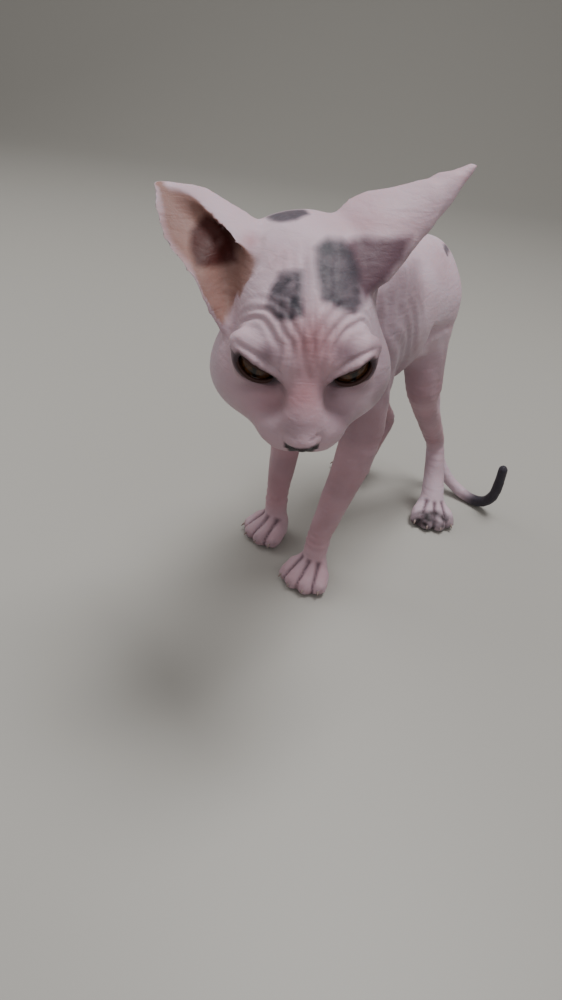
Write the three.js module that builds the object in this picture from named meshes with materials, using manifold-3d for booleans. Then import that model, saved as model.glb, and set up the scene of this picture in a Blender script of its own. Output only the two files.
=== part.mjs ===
// A hairless (sphynx) cat at life size, standing square on four paws with its head
// lowered and turned to its left, ears swept out sideways and the tail tip curled up.
// Millimetres, +Z up, the cat faces -Y and its left side is +X. It stands on Z = 0.
//
// The living shape is one smooth field, blended from tapered limbs and eggs. Each named
// part is a capsule wrapped on that field, then parted from its neighbours by thin cuts.
import * as THREE from "three";
import { mergeVertices } from "three/addons/utils/BufferGeometryUtils.js";
import Module from "manifold-3d";

const wasm = await Module();
wasm.setup();

// Driving sizes
const GAP = 0.3; // left between parts that touch
const EYE_RADIUS = 9.2;
const EYE_OPENING = 7.9; // half the width between the corners of the lids
const EYE_BELOW = 4.6; // from the middle of the opening to the lower lid
const EYE_ABOVE = 1.6; // and to the heavy upper lid
const EAR_ROOT_WALL = 3;
const EAR_TIP_WALL = 1.7;
const PAW_TOE_RADIUS = 5.6;
const FOREPAW_SIZE = 0.93;
const HIND_PAW_SIZE = 0.92;
const FORE_TURN_SHARE = 0.3; // of the turn of the hind foot on the same side
const SHOULDER_RADIUS = 16;
const ELBOW_RADIUS = 12.5;
const FOREARM_RADIUS = 11.3;
const WRIST_RADIUS = 7.5;
const HIP_RADIUS = 16.8;
const KNEE_RADIUS = 8.8;
const SHANK_RADIUS = 8.5;
const HOCK_RADIUS = 6.8;
const INSTEP_RADIUS = 7.6;
const FOOT_RADIUS = 9;
const NOSTRIL_RADIUS = 1.2;
const REACH = 400; // larger than the whole cat, for cutting blocks
const SLACK = 3; // how far past its cuts a part is wrapped before it is trimmed

const SKIN_COLOUR = "#c9a4ab";
const DARK_COLOUR = "#4a4549";
const EYE_COLOUR = "#5c4a2e";

const v3 = (x, y, z) => new THREE.Vector3(x, y, z);
const mirrored = (p, side) => v3(p.x * side, p.y, p.z);
const smoothStep = THREE.MathUtils.smoothstep;
const lerp = THREE.MathUtils.lerp;
const between = (a, b, share) => a.clone().lerp(b, share);
const raised = (p, by) => v3(p.x, p.y, p.z + by);

// Fields: each is a function of a point that is negative inside, in about millimetres.

// A tapered limb from point a, radius ra, to point b, radius rb.
function limb(a, ra, b, rb) {
  const axis = b.clone().sub(a);
  const long2 = axis.lengthSq();
  return (p) => {
    const dx = p.x - a.x;
    const dy = p.y - a.y;
    const dz = p.z - a.z;
    const t = (dx * axis.x + dy * axis.y + dz * axis.z) / long2;
    const h = Math.min(1, Math.max(0, t));
    return Math.hypot(dx - axis.x * h, dy - axis.y * h, dz - axis.z * h) - (ra + (rb - ra) * h);
  };
}

// A chain of limbs through [point, radius] stations.
function chain(stations) {
  const links = stations.slice(1).map(([b, rb], i) => limb(stations[i][0], stations[i][1], b, rb));
  return (p) => Math.min(...links.map((link) => link(p)));
}

// An egg with half sizes r, pitched about X.
function egg(c, r, pitch = 0) {
  const cos = Math.cos(pitch);
  const sin = Math.sin(pitch);
  return (p) => {
    const x = (p.x - c.x) / r.x;
    const dy = p.y - c.y;
    const dz = p.z - c.z;
    const y = (dy * cos + dz * sin) / r.y;
    const z = (dz * cos - dy * sin) / r.z;
    const k0 = Math.hypot(x, y, z);
    const k1 = Math.hypot(x / r.x, y / r.y, z / r.z);
    return k1 < 1e-9 ? -Math.min(r.x, r.y, r.z) : (k0 * (k0 - 1)) / k1;
  };
}

// Joins fields with a fillet of about k.
function blend(k, ...fields) {
  return (p) => {
    let d = fields[0](p);
    for (let i = 1; i < fields.length; i++) {
      const e = fields[i](p);
      const h = Math.max(k - Math.abs(d - e), 0) / k;
      d = Math.min(d, e) - (h * h * k) / 4;
    }
    return d;
  };
}

// Takes a tool out of a field, with a rounded lip of about k.
function carve(k, field, tool) {
  return (p) => {
    const d = field(p);
    const e = -tool(p);
    const h = Math.max(k - Math.abs(d - e), 0) / k;
    return Math.max(d, e) + (h * h * k) / 4;
  };
}

// The same field on both sides of X = 0.
const paired = (make) => {
  const left = make(1);
  const right = make(-1);
  return (p) => Math.min(left(p), right(p));
};

// Head, in its own frame: nose to -Y, crown to +Z, origin between the ears.
const EYE_AT = v3(16.5, -22.5, 7);
const EYE_SLANT = 0.34; // outer corner above the inner one
const EYE_SPLAY = 0.2; // outward from straight ahead
const EYE_LIFT = 0.35; // upward from straight ahead

function headField() {
  const cranium = egg(v3(0, 14, 6), v3(29, 33, 26));
  const occiput = egg(v3(0, 26, 12), v3(30, 21, 15));
  const forehead = egg(v3(0, -7, 12), v3(23, 23, 15), -0.25);
  const cheekbone = paired((s) => egg(v3(20 * s, -8, -6), v3(14, 20, 14)));
  const jowl = paired((s) => egg(v3(20.5 * s, -10, -15), v3(16, 18, 12)));
  const cheekFold = paired((s) => limb(v3(18 * s, -10, -12), 14, v3(9.5 * s, -38, -11), 9));
  const bridge = limb(v3(0, -14, 8), 14, v3(0, -45, -1), 8);
  const jaw = limb(v3(0, -8, -12), 23, v3(0, -39, -9.5), 10.5);
  const pad = paired((s) => egg(v3(6.8 * s, -43.5, -9), v3(8.2, 6.8, 6.6)));
  const chin = limb(v3(0, -16, -18), 12, v3(0, -41, -17.5), 5.6);
  const noseTip = egg(v3(0, -53, -3.5), v3(6, 4.6, 4.2));
  const brow = paired((s) => limb(v3(8 * s, -30, 13.5), 4.5, v3(25 * s, -21, 14), 4));
  const lid = paired((s) => egg(mirrored(EYE_AT, s), v3(11.4, 11.4, 11.4)));
  const socket = paired((s) => egg(v3(15 * s, -39, 2), v3(6.5, 7, 6)));
  const cheeks = blend(10, cheekbone, jowl, cheekFold);
  let f = blend(10, cranium, occiput, forehead, cheeks, bridge, jaw);
  f = carve(7, f, socket);
  f = blend(3, f, chin);
  f = blend(5, f, pad);
  f = blend(6, f, brow);
  return blend(2.5, f, lid, noseTip);
}

// Body joints, left side; the stance differs from side to side.
const LEGS = {
  left: {
    shoulder: v3(20, -50, 168),
    elbow: v3(24.5, -42, 112),
    wrist: v3(17, -55, 32),
    paw: v3(18.5, -59, 9),
    hip: v3(1, 41, 164),
    knee: v3(17, 28, 112),
    hock: v3(13, 86, 50),
    foot: v3(33, 65, 10),
    toeTurn: 0.72,
  },
  right: {
    shoulder: v3(-22, -46, 168),
    elbow: v3(-32, -36, 112),
    wrist: v3(-32.5, -42.5, 32),
    paw: v3(-29, -45, 9),
    hip: v3(-29, 46, 164),
    knee: v3(-35, 24, 112),
    hock: v3(-32, 84, 50),
    foot: v3(-39, 66, 10),
    toeTurn: -0.4,
  },
};
const HEAD_AT = v3(36.9, -126.9, 193.6);
const HEAD_TURN = THREE.MathUtils.degToRad(45.4);
const HEAD_DOWN = THREE.MathUtils.degToRad(24);
const HEAD_TILT = THREE.MathUtils.degToRad(-4.3);
const HEAD_SCALE = 1.04;

const headMatrix = new THREE.Matrix4().compose(
  HEAD_AT,
  new THREE.Quaternion().setFromEuler(new THREE.Euler(HEAD_DOWN, HEAD_TILT, HEAD_TURN, "ZXY")),
  v3(HEAD_SCALE, HEAD_SCALE, HEAD_SCALE),
);
const headInverse = headMatrix.clone().invert();
const inHead = (field) => (p) => field(p.clone().applyMatrix4(headInverse)) * HEAD_SCALE;
const fromHead = (p) => p.clone().applyMatrix4(headMatrix);

const TAIL_ROUTE = [
  [v3(-12, 64, 184), 9],
  [v3(-13, 85, 161), 7.5],
  [v3(-12, 93, 113), 6.3],
  [v3(0, 99, 58), 5.5],
  [v3(16, 105, 18), 5.1],
  [v3(36, 108, 5.2), 4.9],
  [v3(53, 108, 5.6), 4.6],
  [v3(62, 106, 18), 4.2],
  [v3(62.5, 105, 43), 3.7],
];

function torsoField() {
  const ribs = egg(v3(0, -20, 164), v3(31, 58, 40), 0.08);
  const belly = egg(v3(-6, 22, 166), v3(26, 46, 31), -0.05);
  const pelvis = egg(v3(-14, 45, 174), v3(20, 30, 23), -0.3);
  const spine = limb(v3(0, -40, 194), 11, v3(-14, 48, 186), 10);
  const breast = limb(v3(0, -58, 160), 20, v3(0, -30, 140), 17);
  return blend(14, ribs, belly, pelvis, spine, breast);
}

function legFields(side) {
  const j = LEGS[side];
  const s = Math.sign(j.shoulder.x);
  const blade = egg(v3(18 * s, j.shoulder.y + 10, 176), v3(12, 24, 32), 0.3);
  const foreleg = chain([
    [j.shoulder, SHOULDER_RADIUS],
    [j.elbow, ELBOW_RADIUS],
    [v3(j.elbow.x, j.elbow.y - 4, j.elbow.z - 24), FOREARM_RADIUS],
    [j.wrist, WRIST_RADIUS],
    [j.paw, 8],
  ]);
  const hamstring = limb(j.hip, 15.8, v3(j.knee.x, j.knee.y + 15, j.knee.z), 7.5);
  const hindleg = chain([
    [v3(j.hip.x, j.hip.y - 6, j.hip.z), HIP_RADIUS],
    [j.knee, KNEE_RADIUS],
    [between(j.knee, j.hock, 0.55), SHANK_RADIUS],
    [v3(j.hock.x, j.hock.y - 2, j.hock.z), HOCK_RADIUS],
    [between(j.hock, j.foot, 0.55), INSTEP_RADIUS],
    [j.foot, FOOT_RADIUS],
  ]);
  const fore = blend(6, blade, foreleg);
  const hind = blend(9, hamstring, hindleg);
  return {
    fore: blend(4, fore, pawField(j.paw, j.toeTurn * FORE_TURN_SHARE, FOREPAW_SIZE)),
    hind: blend(4, hind, pawField(j.foot, j.toeTurn, HIND_PAW_SIZE)),
  };
}

// Four toes fanned from the middle of the paw, and the pad behind them.
function pawField(at, turn, size) {
  const toes = [-1.5, -0.5, 0.5, 1.5].map((slot) => {
    const angle = turn + slot * 0.24;
    const reach = (Math.abs(slot) > 1 ? 14 : 18) * size;
    const heading = v3(Math.sin(angle), -Math.cos(angle), 0);
    const knuckle = at.clone().addScaledVector(heading, reach * 0.45);
    knuckle.z = 9.5 * size;
    knuckle.x += Math.cos(turn) * slot * 5.6 * size;
    knuckle.y += Math.sin(turn) * slot * 5.6 * size;
    const tip = knuckle.clone().addScaledVector(heading, reach * 0.55);
    tip.z = PAW_TOE_RADIUS * size - 0.6;
    return limb(knuckle, (PAW_TOE_RADIUS + 0.4) * size, tip, PAW_TOE_RADIUS * size);
  });
  const palm = egg(v3(at.x, at.y, 8.5 * size - 1), v3(12.5 * size, 12 * size, 8.5 * size));
  return blend(4, palm, blend(1.2, ...toes));
}

function neckField() {
  const nape = fromHead(v3(0, 26, -4));
  return chain([
    [v3(0, -46, 182), 27],
    [v3(5, -72, 186), 24],
    [nape, 22],
  ]);
}

const head = inHead(headField());
const torso = torsoField();
const legs = { left: legFields("left"), right: legFields("right") };
const neck = neckField();
const tailCurve = new THREE.CatmullRomCurve3(TAIL_ROUTE.map(([p]) => p));
const tailStations = tailCurve.getSpacedPoints(40).map((p, i) => {
  const slot = (i / 40) * (TAIL_ROUTE.length - 1);
  const low = Math.min(Math.floor(slot), TAIL_ROUTE.length - 2);
  return [p, lerp(TAIL_ROUTE[low][1], TAIL_ROUTE[low + 1][1], slot - low)];
});
const tail = chain(tailStations);

const trunk = blend(16, torso, neck);
const withLegs = blend(11, trunk, legs.left.fore, legs.right.fore);
const withHips = blend(12, withLegs, legs.left.hind, legs.right.hind);
const whole = blend(10, withHips, head);

// Wraps a capsule on a field: its axis follows the curve, and each vertex slides out
// from the axis until the field is zero.
function wrap(field, points, { rings, sides, caps }) {
  const curve = new THREE.CatmullRomCurve3(points);
  const frames = curve.computeFrenetFrames(rings, false);
  const capsule = new THREE.CapsuleGeometry(1, rings, caps, sides, rings);
  const at = capsule.getAttribute("position");
  const dirs = capsule.getAttribute("normal");
  const p = v3(0, 0, 0);
  const d = v3(0, 0, 0);
  for (let i = 0; i < at.count; i++) {
    p.fromBufferAttribute(at, i);
    d.fromBufferAttribute(dirs, i);
    const along = THREE.MathUtils.clamp(0.5 - p.y / rings, 0, 1);
    const ring = along * rings;
    const low = Math.min(Math.floor(ring), rings - 1);
    const share = ring - low;
    const mix = (list) => list[low].clone().lerp(list[low + 1], share).normalize();
    const out = mix(frames.normals)
      .multiplyScalar(d.x)
      .addScaledVector(mix(frames.binormals), d.z)
      .addScaledVector(mix(frames.tangents), -d.y)
      .normalize();
    const from = curve.getPointAt(along);
    at.setXYZ(i, ...slideOut(field, from, out).toArray());
  }
  return solidOf(capsule);
}

// The first point on the ray where the field turns positive.
function slideOut(field, from, out) {
  const p = from.clone();
  let low = 0;
  let high = 0;
  for (let i = 0; i < 200 && high < REACH; i++) {
    const d = field(p.copy(from).addScaledVector(out, high));
    if (d >= 0) break;
    low = high;
    high += Math.max(0.25, -d * 0.7);
  }
  for (let i = 0; i < 24; i++) {
    const middle = (low + high) / 2;
    if (field(p.copy(from).addScaledVector(out, middle)) < 0) low = middle;
    else high = middle;
  }
  return p.copy(from).addScaledVector(out, low);
}

// A three.js geometry as a closed solid for joining and cutting.
function solidOf(geometry) {
  const bare = geometry.clone();
  bare.deleteAttribute("normal");
  bare.deleteAttribute("uv");
  const merged = mergeVertices(bare, 1e-3);
  const corners = merged.index.array;
  const triangles = [];
  for (let i = 0; i < corners.length; i += 3) {
    const [a, b, c] = [corners[i], corners[i + 1], corners[i + 2]];
    if (a !== b && b !== c && c !== a) triangles.push(a, b, c);
  }
  return new wasm.Manifold(
    new wasm.Mesh({
      numProp: 3,
      vertProperties: new Float32Array(merged.getAttribute("position").array),
      triVerts: new Uint32Array(triangles),
    }),
  );
}

function geometryOf(solid) {
  const mesh = solid.getMesh();
  const stride = mesh.numProp;
  const positions = new Float32Array(mesh.numVert * 3);
  for (let i = 0; i < mesh.numVert; i++) {
    positions.set(mesh.vertProperties.subarray(i * stride, i * stride + 3), i * 3);
  }
  const geometry = new THREE.BufferGeometry();
  geometry.setAttribute("position", new THREE.BufferAttribute(positions, 3));
  geometry.setIndex(new THREE.BufferAttribute(new Uint32Array(mesh.triVerts), 1));
  geometry.computeVertexNormals();
  return geometry;
}

const largest = (solid) =>
  solid.decompose().reduce((best, one) => (one.volume() > best.volume() ? one : best));

// A cut is a plane through a point; its normal points into the part beyond it.
const cut = (point, normal) => ({ point, normal: normal.clone().normalize() });
const beyond = (solid, { point, normal }, gap = GAP / 2) =>
  solid.trimByPlane(normal.toArray(), normal.dot(point) + gap);
const before = (solid, { point, normal }, gap = GAP / 2) =>
  solid.trimByPlane(normal.clone().negate().toArray(), -normal.dot(point) + gap);

const bigBlock = solidOf(new THREE.BoxGeometry(2 * REACH, 2 * REACH, 2 * REACH));
// The space beyond every one of the cuts, grown by the gap.
const corner = (cuts) => cuts.reduce((block, one) => beyond(block, one, -GAP / 2), bigBlock);
const sideOf = (p, { point, normal }) =>
  (p.x - point.x) * normal.x + (p.y - point.y) * normal.y + (p.z - point.z) * normal.z;
// A field kept to the space beyond all of the cuts, and a little more.
const clip = (field, cuts) => (p) =>
  cuts.reduce((d, one) => Math.max(d, -sideOf(p, one) - SLACK), field(p));
// A field without what is well beyond all of the cuts.
const without = (field, cuts) => (p) =>
  Math.max(field(p), Math.min(...cuts.map((one) => sideOf(p, one))) - SLACK);

const group = new THREE.Group();
const solids = {};
function add(name, solid, colour, roughness = 0.6) {
  const floor = cut(v3(0, 0, 0), v3(0, 0, 1));
  const done = largest(beyond(solid, floor, 0));
  const material = new THREE.MeshStandardMaterial({ color: colour, roughness, metalness: 0 });
  const mesh = new THREE.Mesh(geometryOf(done), material);
  mesh.name = name;
  group.add(mesh);
  solids[name] = done;
}

// Where the parts are cut from each other
const neckCut = cut(v3(4, -66, 180), v3(0.25, -1, 0.1));
const headCut = cut(fromHead(v3(0, 38, 0)), fromHead(v3(0, 24, 0)).sub(fromHead(v3(0, 30, -3))));
const tailCut = cut(v3(-11, 76, 174), v3(0, 0.75, -0.6));
const intoHead = (direction) => direction.clone().transformDirection(headMatrix);
const jawCuts = [
  cut(fromHead(v3(0, -40, -15.5)), intoHead(v3(0, 0.12, -1))),
  cut(fromHead(v3(0, -25, -16)), intoHead(v3(0, -1, -0.2))),
];

function legCuts(side) {
  const j = LEGS[side];
  const s = Math.sign(j.hip.x);
  return {
    foreRoot: [
      cut(v3(3 * s, -50, 128), v3(s, 0, 0.02)),
      cut(v3(20 * s, -50, 146), v3(0.35 * s, 0, -1)),
      cut(v3(0, -14, 130), v3(0, -1, -0.1)),
    ],
    elbow: cut(j.elbow.clone().add(v3(0, 0, -8)), v3(0, -0.2, -1)),
    wrist: cut(j.wrist.clone().add(v3(0, 0, 2)), j.paw.clone().sub(j.wrist).add(v3(0, 0, -14))),
    hindRoot: [
      cut(v3(1.5 * s - 14, 50, 140), v3(s, 0, 0)),
      cut(v3(20 * s - 14, 50, 150), v3(0.35 * s, -0.15, -1)),
      cut(v3(0, -2, 130), v3(0, 1, -0.1)),
    ],
    knee: cut(j.knee.clone().add(v3(0, 10, -8)), v3(0, 0.45, -1)),
    hock: cut(j.hock.clone().add(v3(0, -2, -3)), v3(0, -0.25, -1)),
  };
}

function buildLeg(side) {
  const j = LEGS[side];
  const cuts = legCuts(side);
  const inside = (solid, root) => root.reduce((left, one) => beyond(left, one), solid);

  const upperRoute = [raised(j.elbow, 26), raised(j.elbow, 8), raised(j.elbow, -14)];
  const upper = wrap(clip(whole, cuts.foreRoot), upperRoute, { rings: 9, sides: 18, caps: 4 });
  add(`upper_foreleg_${side}`, before(inside(upper, cuts.foreRoot), cuts.elbow), SKIN_COLOUR);
  const armRoute = [
    raised(j.elbow, 2),
    between(j.elbow, j.wrist, 0.5),
    j.wrist,
    between(j.wrist, j.paw, 0.4),
  ];
  const forearm = wrap(whole, armRoute, { rings: 14, sides: 16, caps: 2 });
  add(`forearm_${side}`, before(beyond(forearm, cuts.elbow), cuts.wrist), SKIN_COLOUR);
  const pawRoute = [raised(j.wrist, 4), j.paw, toward(j.paw, j.toeTurn * FORE_TURN_SHARE, -3)];
  const forepaw = wrap(whole, pawRoute, { rings: 8, sides: 22, caps: 6 });
  add(`forepaw_${side}`, beyond(forepaw, cuts.wrist), SKIN_COLOUR);

  const thighRoute = [
    v3(j.hip.x * 1.25, j.hip.y - 8, 138),
    j.knee.clone().add(v3(0, 8, 4)),
    j.knee.clone().add(v3(0, 12, -12)),
  ];
  const thigh = wrap(clip(whole, cuts.hindRoot), thighRoute, { rings: 9, sides: 20, caps: 5 });
  add(`thigh_${side}`, before(inside(thigh, cuts.hindRoot), cuts.knee), SKIN_COLOUR);
  const shankRoute = [
    j.knee.clone().add(v3(0, 2, 0)),
    between(j.knee, j.hock, 0.5),
    raised(j.hock, -4),
  ];
  const shank = wrap(whole, shankRoute, { rings: 12, sides: 16, caps: 3 });
  add(`shank_${side}`, before(beyond(shank, cuts.knee), cuts.hock), SKIN_COLOUR);
  const footRoute = [
    j.hock,
    between(j.hock, j.foot, 0.5),
    j.foot,
    toward(j.foot, j.toeTurn, -4),
  ];
  const foot = wrap(whole, footRoute, { rings: 10, sides: 20, caps: 6 });
  add(`hind_foot_${side}`, beyond(foot, cuts.hock), SKIN_COLOUR);
}

// A point a little ahead of the middle of a paw, among its toes.
function toward(paw, turn, rise) {
  return paw.clone().add(v3(Math.sin(turn) * 10, -Math.cos(turn) * 10, rise));
}

function buildTrunk() {
  const roots = [legCuts("left"), legCuts("right")].flatMap((c) => [c.foreRoot, c.hindRoot]);
  const ends = [cut(v3(0, -73, 0), v3(0, 1, 0)), cut(v3(0, 95, 0), v3(0, -1, 0))];
  const spineRoute = [v3(2, -58, 172), v3(0, -20, 170), v3(-3, 30, 170), v3(-5, 66, 174)];
  let solid = wrap(clip(roots.reduce(without, whole), ends), spineRoute, {
    rings: 24,
    sides: 34,
    caps: 6,
  });
  for (const cuts of roots) solid = solid.subtract(corner(cuts));
  add("torso", before(before(solid, neckCut), tailCut), SKIN_COLOUR);

  const middle = between(neckCut.point, headCut.point, 0.5);
  const ahead = headCut.point.clone().sub(neckCut.point).normalize();
  const behind = cut(headCut.point, headCut.normal.clone().negate());
  const neckRoute = [-2, 2].map((by) => middle.clone().addScaledVector(ahead, by));
  let neckSolid = wrap(clip(whole, [neckCut, behind]), neckRoute, { rings: 2, sides: 30, caps: 11 });
  for (const cuts of roots) neckSolid = neckSolid.subtract(corner(cuts));
  add("neck", before(beyond(neckSolid, neckCut), headCut), SKIN_COLOUR);
}

function buildHead() {
  const route = [fromHead(v3(0, 34, -1)), fromHead(v3(0, 0, 2)), fromHead(v3(0, -32, -4))];
  let skull = beyond(wrap(whole, route, { rings: 20, sides: 38, caps: 11 }), headCut);
  for (const s of [1, -1]) {
    const eye = new THREE.SphereGeometry(EYE_RADIUS + GAP + 0.15, 20, 12);
    eye.translate(EYE_AT.x * s, EYE_AT.y, EYE_AT.z);
    eye.applyMatrix4(headMatrix);
    skull = skull.subtract(solidOf(eye)).subtract(eyeOpening(s));
    const nostril = new THREE.CapsuleGeometry(NOSTRIL_RADIUS, 3.5, 4, 8);
    nostril.rotateZ(0.9 * s);
    nostril.translate(3.6 * s, -57.4, -4.4);
    nostril.applyMatrix4(headMatrix);
    skull = skull.subtract(solidOf(nostril));
  }
  add("head", skull.subtract(corner(jawCuts)), SKIN_COLOUR);
  add("lower_jaw", jawCuts.reduce((jaw, one) => beyond(jaw, one), skull), SKIN_COLOUR);
}

// The opening between the lids: round below, nearly straight above.
function eyeOpening(s) {
  const shape = new THREE.SphereGeometry(1, 28, 16);
  shape.scale(EYE_OPENING, 11, EYE_BELOW);
  const straight = cut(v3(0, 0, EYE_ABOVE), v3(0, 0, 1));
  const place = new THREE.Matrix4()
    .makeTranslation(EYE_AT.x * s, EYE_AT.y, EYE_AT.z)
    .multiply(new THREE.Matrix4().makeRotationZ(EYE_SPLAY * s))
    .multiply(new THREE.Matrix4().makeRotationX(-EYE_LIFT))
    .multiply(new THREE.Matrix4().makeTranslation(0, -11, 0))
    .multiply(new THREE.Matrix4().makeRotationY(-EYE_SLANT * s));
  return before(solidOf(shape), straight, 0).transform(headMatrix.clone().multiply(place).elements);
}

function buildEyes() {
  for (const [side, s] of [["left", 1], ["right", -1]]) {
    const ball = new THREE.SphereGeometry(EYE_RADIUS, 16, 10);
    ball.rotateX(-Math.PI / 2);
    ball.translate(EYE_AT.x * s, EYE_AT.y, EYE_AT.z);
    ball.applyMatrix4(headMatrix);
    add(`eye_${side}`, solidOf(ball), EYE_COLOUR, 0.1);
  }
}

// An ear is a cupped leaf, in the frame of the head. Its two rims and the ridge of its back
// each run in a smooth line from deep in the skull out to the tip.
const EARS = {
  left: {
    rims: [
      [
        v3(14, -4, 8), v3(21, -1, 18), v3(32, 9, 17),
        v3(43, 25, 19), v3(56, 41, 26.5), v3(68.8, 57.5, 35.5),
      ],
      [
        v3(6, 34, 10), v3(13, 42, 26), v3(22, 50, 28),
        v3(37, 52, 30), v3(54, 56, 34), v3(67.2, 60, 36.5),
      ],
    ],
    ridge: [
      v3(10, 12, 10), v3(16, 14, 24), v3(27, 22, 28),
      v3(39, 33, 30), v3(55, 45, 34), v3(68.3, 58, 37.5),
    ],
  },
  right: {
    rims: [
      [
        v3(-24, -12, -3), v3(-35, -8, 8), v3(-44, 3, 20),
        v3(-54, 16, 23), v3(-59.5, 30, 29), v3(-61.5, 42, 33.5),
      ],
      [
        v3(-9, -4, 12), v3(-14, 2, 22.5), v3(-22, 13, 26),
        v3(-34, 26, 28.5), v3(-46, 38, 31), v3(-57, 44, 32.5),
      ],
    ],
    ridge: [
      v3(-12, 22, 8), v3(-20, 30, 16), v3(-26, 36, 24),
      v3(-35, 41, 26), v3(-44, 46, 29), v3(-58.5, 45.5, 31.5),
    ],
  },
};

function earSheet({ rims, ridge }) {
  const [first, second, back] = [...rims, ridge].map((line) => new THREE.CatmullRomCurve3(line));
  const rows = 14;
  const columns = 13;
  const point = (t, share, isInner) => {
    const middle = between(first.getPoint(t), second.getPoint(t), 0.5);
    const aside = first.getPoint(t).sub(middle);
    const deep = back.getPoint(t).sub(middle);
    const angle = share * Math.PI;
    const out = aside.multiplyScalar(Math.cos(angle)).addScaledVector(deep, Math.sin(angle));
    const wall = lerp(EAR_ROOT_WALL, EAR_TIP_WALL, t);
    const size = isInner ? Math.max(1 - wall / out.length(), 0.15) : 1;
    return middle.addScaledVector(out, size);
  };
  const positions = [];
  const index = [];
  const at = (layer, i, k) => (layer * (rows + 1) + i) * (columns + 1) + k;
  for (const isInner of [false, true]) {
    for (let i = 0; i <= rows; i++) {
      for (let k = 0; k <= columns; k++) {
        positions.push(...point(i / rows, k / columns, isInner).toArray());
      }
    }
  }
  const quad = (a, b, c, d) => index.push(a, c, b, a, d, c);
  for (let i = 0; i < rows; i++) {
    for (let k = 0; k < columns; k++) {
      quad(at(0, i, k), at(0, i, k + 1), at(0, i + 1, k + 1), at(0, i + 1, k));
      quad(at(1, i, k), at(1, i + 1, k), at(1, i + 1, k + 1), at(1, i, k + 1));
    }
    quad(at(0, i, 0), at(0, i + 1, 0), at(1, i + 1, 0), at(1, i, 0));
    quad(at(0, i, columns), at(1, i, columns), at(1, i + 1, columns), at(0, i + 1, columns));
  }
  for (let k = 0; k < columns; k++) {
    quad(at(0, 0, k), at(1, 0, k), at(1, 0, k + 1), at(0, 0, k + 1));
    quad(at(0, rows, k), at(0, rows, k + 1), at(1, rows, k + 1), at(1, rows, k));
  }
  const sheet = new THREE.BufferGeometry();
  sheet.setAttribute("position", new THREE.BufferAttribute(new Float32Array(positions), 3));
  sheet.setIndex(index);
  sheet.applyMatrix4(headMatrix);
  return solidOf(sheet);
}

function buildEars() {
  const route = [v3(2, -64, 182), v3(0, 36, -2), v3(0, 0, 2), v3(0, -20, -4)];
  const placed = route.map((p, i) => (i === 0 ? p : fromHead(p)));
  const grown = wrap((p) => whole(p) - GAP - 0.3, placed, { rings: 24, sides: 40, caps: 6 });
  for (const side of ["left", "right"]) {
    add(`ear_${side}`, earSheet(EARS[side]).subtract(grown), SKIN_COLOUR);
  }
}

function buildTail() {
  const lengths = [
    ["tail_base", 0, 0.34],
    ["tail_middle", 0.34, 0.67],
    ["tail_tip", 0.67, 1],
  ];
  for (const [name, from, to] of lengths) {
    const start = Math.max(from - 0.03, 0);
    const end = Math.min(to + 0.03, 0.985);
    const points = Array.from({ length: 9 }, (_, i) => tailCurve.getPointAt(lerp(start, end, i / 8)));
    let solid = wrap(tail, points, { rings: 16, sides: 10, caps: 3 });
    const across = (share) => cut(tailCurve.getPointAt(share), tailCurve.getTangentAt(share));
    solid = beyond(solid, from === 0 ? tailCut : across(from));
    if (to < 1) solid = before(solid, across(to));
    add(name, solid, name === "tail_tip" ? DARK_COLOUR : SKIN_COLOUR);
  }
}

buildTrunk();
buildHead();
buildEyes();
buildEars();
buildLeg("left");
buildLeg("right");
buildTail();

// The origin goes to the middle of the floor under the whole cat.
const extent = new THREE.Box3().setFromObject(group);
const middle = extent.getCenter(v3(0, 0, 0));
group.position.set(-middle.x, -middle.y, 0);

export default group;
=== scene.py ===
"""A hairless cat standing on its paws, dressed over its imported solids.

The solids of flesh are joined into one skin, which is smoothed and then sculpted by vertex
moves: lids, nostrils, mouth, brow folds, toes and the folds of neck and legs. Eyes, lid rims
and claws are pieces of their own. Lengths are millimetres, and on the head they are its own,
before its scale. The studio and the materials are in Blender's metres.
"""

import logging
import math
from dataclasses import dataclass
from enum import Enum

import bpy
import numpy as np
from mathutils import Matrix, Vector

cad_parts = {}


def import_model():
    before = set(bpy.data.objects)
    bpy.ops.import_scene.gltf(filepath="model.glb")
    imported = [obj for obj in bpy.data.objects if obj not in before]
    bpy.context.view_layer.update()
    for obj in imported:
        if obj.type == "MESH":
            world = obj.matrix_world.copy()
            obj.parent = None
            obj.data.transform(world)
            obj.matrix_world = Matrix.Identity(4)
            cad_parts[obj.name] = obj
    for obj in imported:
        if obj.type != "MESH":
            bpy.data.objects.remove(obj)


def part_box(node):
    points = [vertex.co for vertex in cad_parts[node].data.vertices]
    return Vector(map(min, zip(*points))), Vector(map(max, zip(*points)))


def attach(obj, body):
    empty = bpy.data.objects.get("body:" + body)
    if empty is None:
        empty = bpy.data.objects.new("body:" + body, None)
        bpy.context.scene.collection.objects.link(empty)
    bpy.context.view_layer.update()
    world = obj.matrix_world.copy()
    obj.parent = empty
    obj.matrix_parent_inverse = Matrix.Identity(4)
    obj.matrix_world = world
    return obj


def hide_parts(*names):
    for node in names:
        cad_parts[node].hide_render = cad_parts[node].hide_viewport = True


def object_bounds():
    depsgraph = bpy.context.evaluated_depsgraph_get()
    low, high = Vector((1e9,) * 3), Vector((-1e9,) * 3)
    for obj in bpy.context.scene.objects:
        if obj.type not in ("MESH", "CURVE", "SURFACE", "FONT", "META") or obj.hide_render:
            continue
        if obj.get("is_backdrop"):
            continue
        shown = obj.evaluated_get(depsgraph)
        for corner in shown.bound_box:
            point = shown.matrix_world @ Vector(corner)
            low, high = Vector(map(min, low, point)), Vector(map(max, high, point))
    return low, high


log = logging.getLogger("cat")
MM = 0.001
WELD_DISTANCE = 1e-6
FAR_AWAY = 1e9
TINY = 1e-9
Array = np.ndarray

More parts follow.
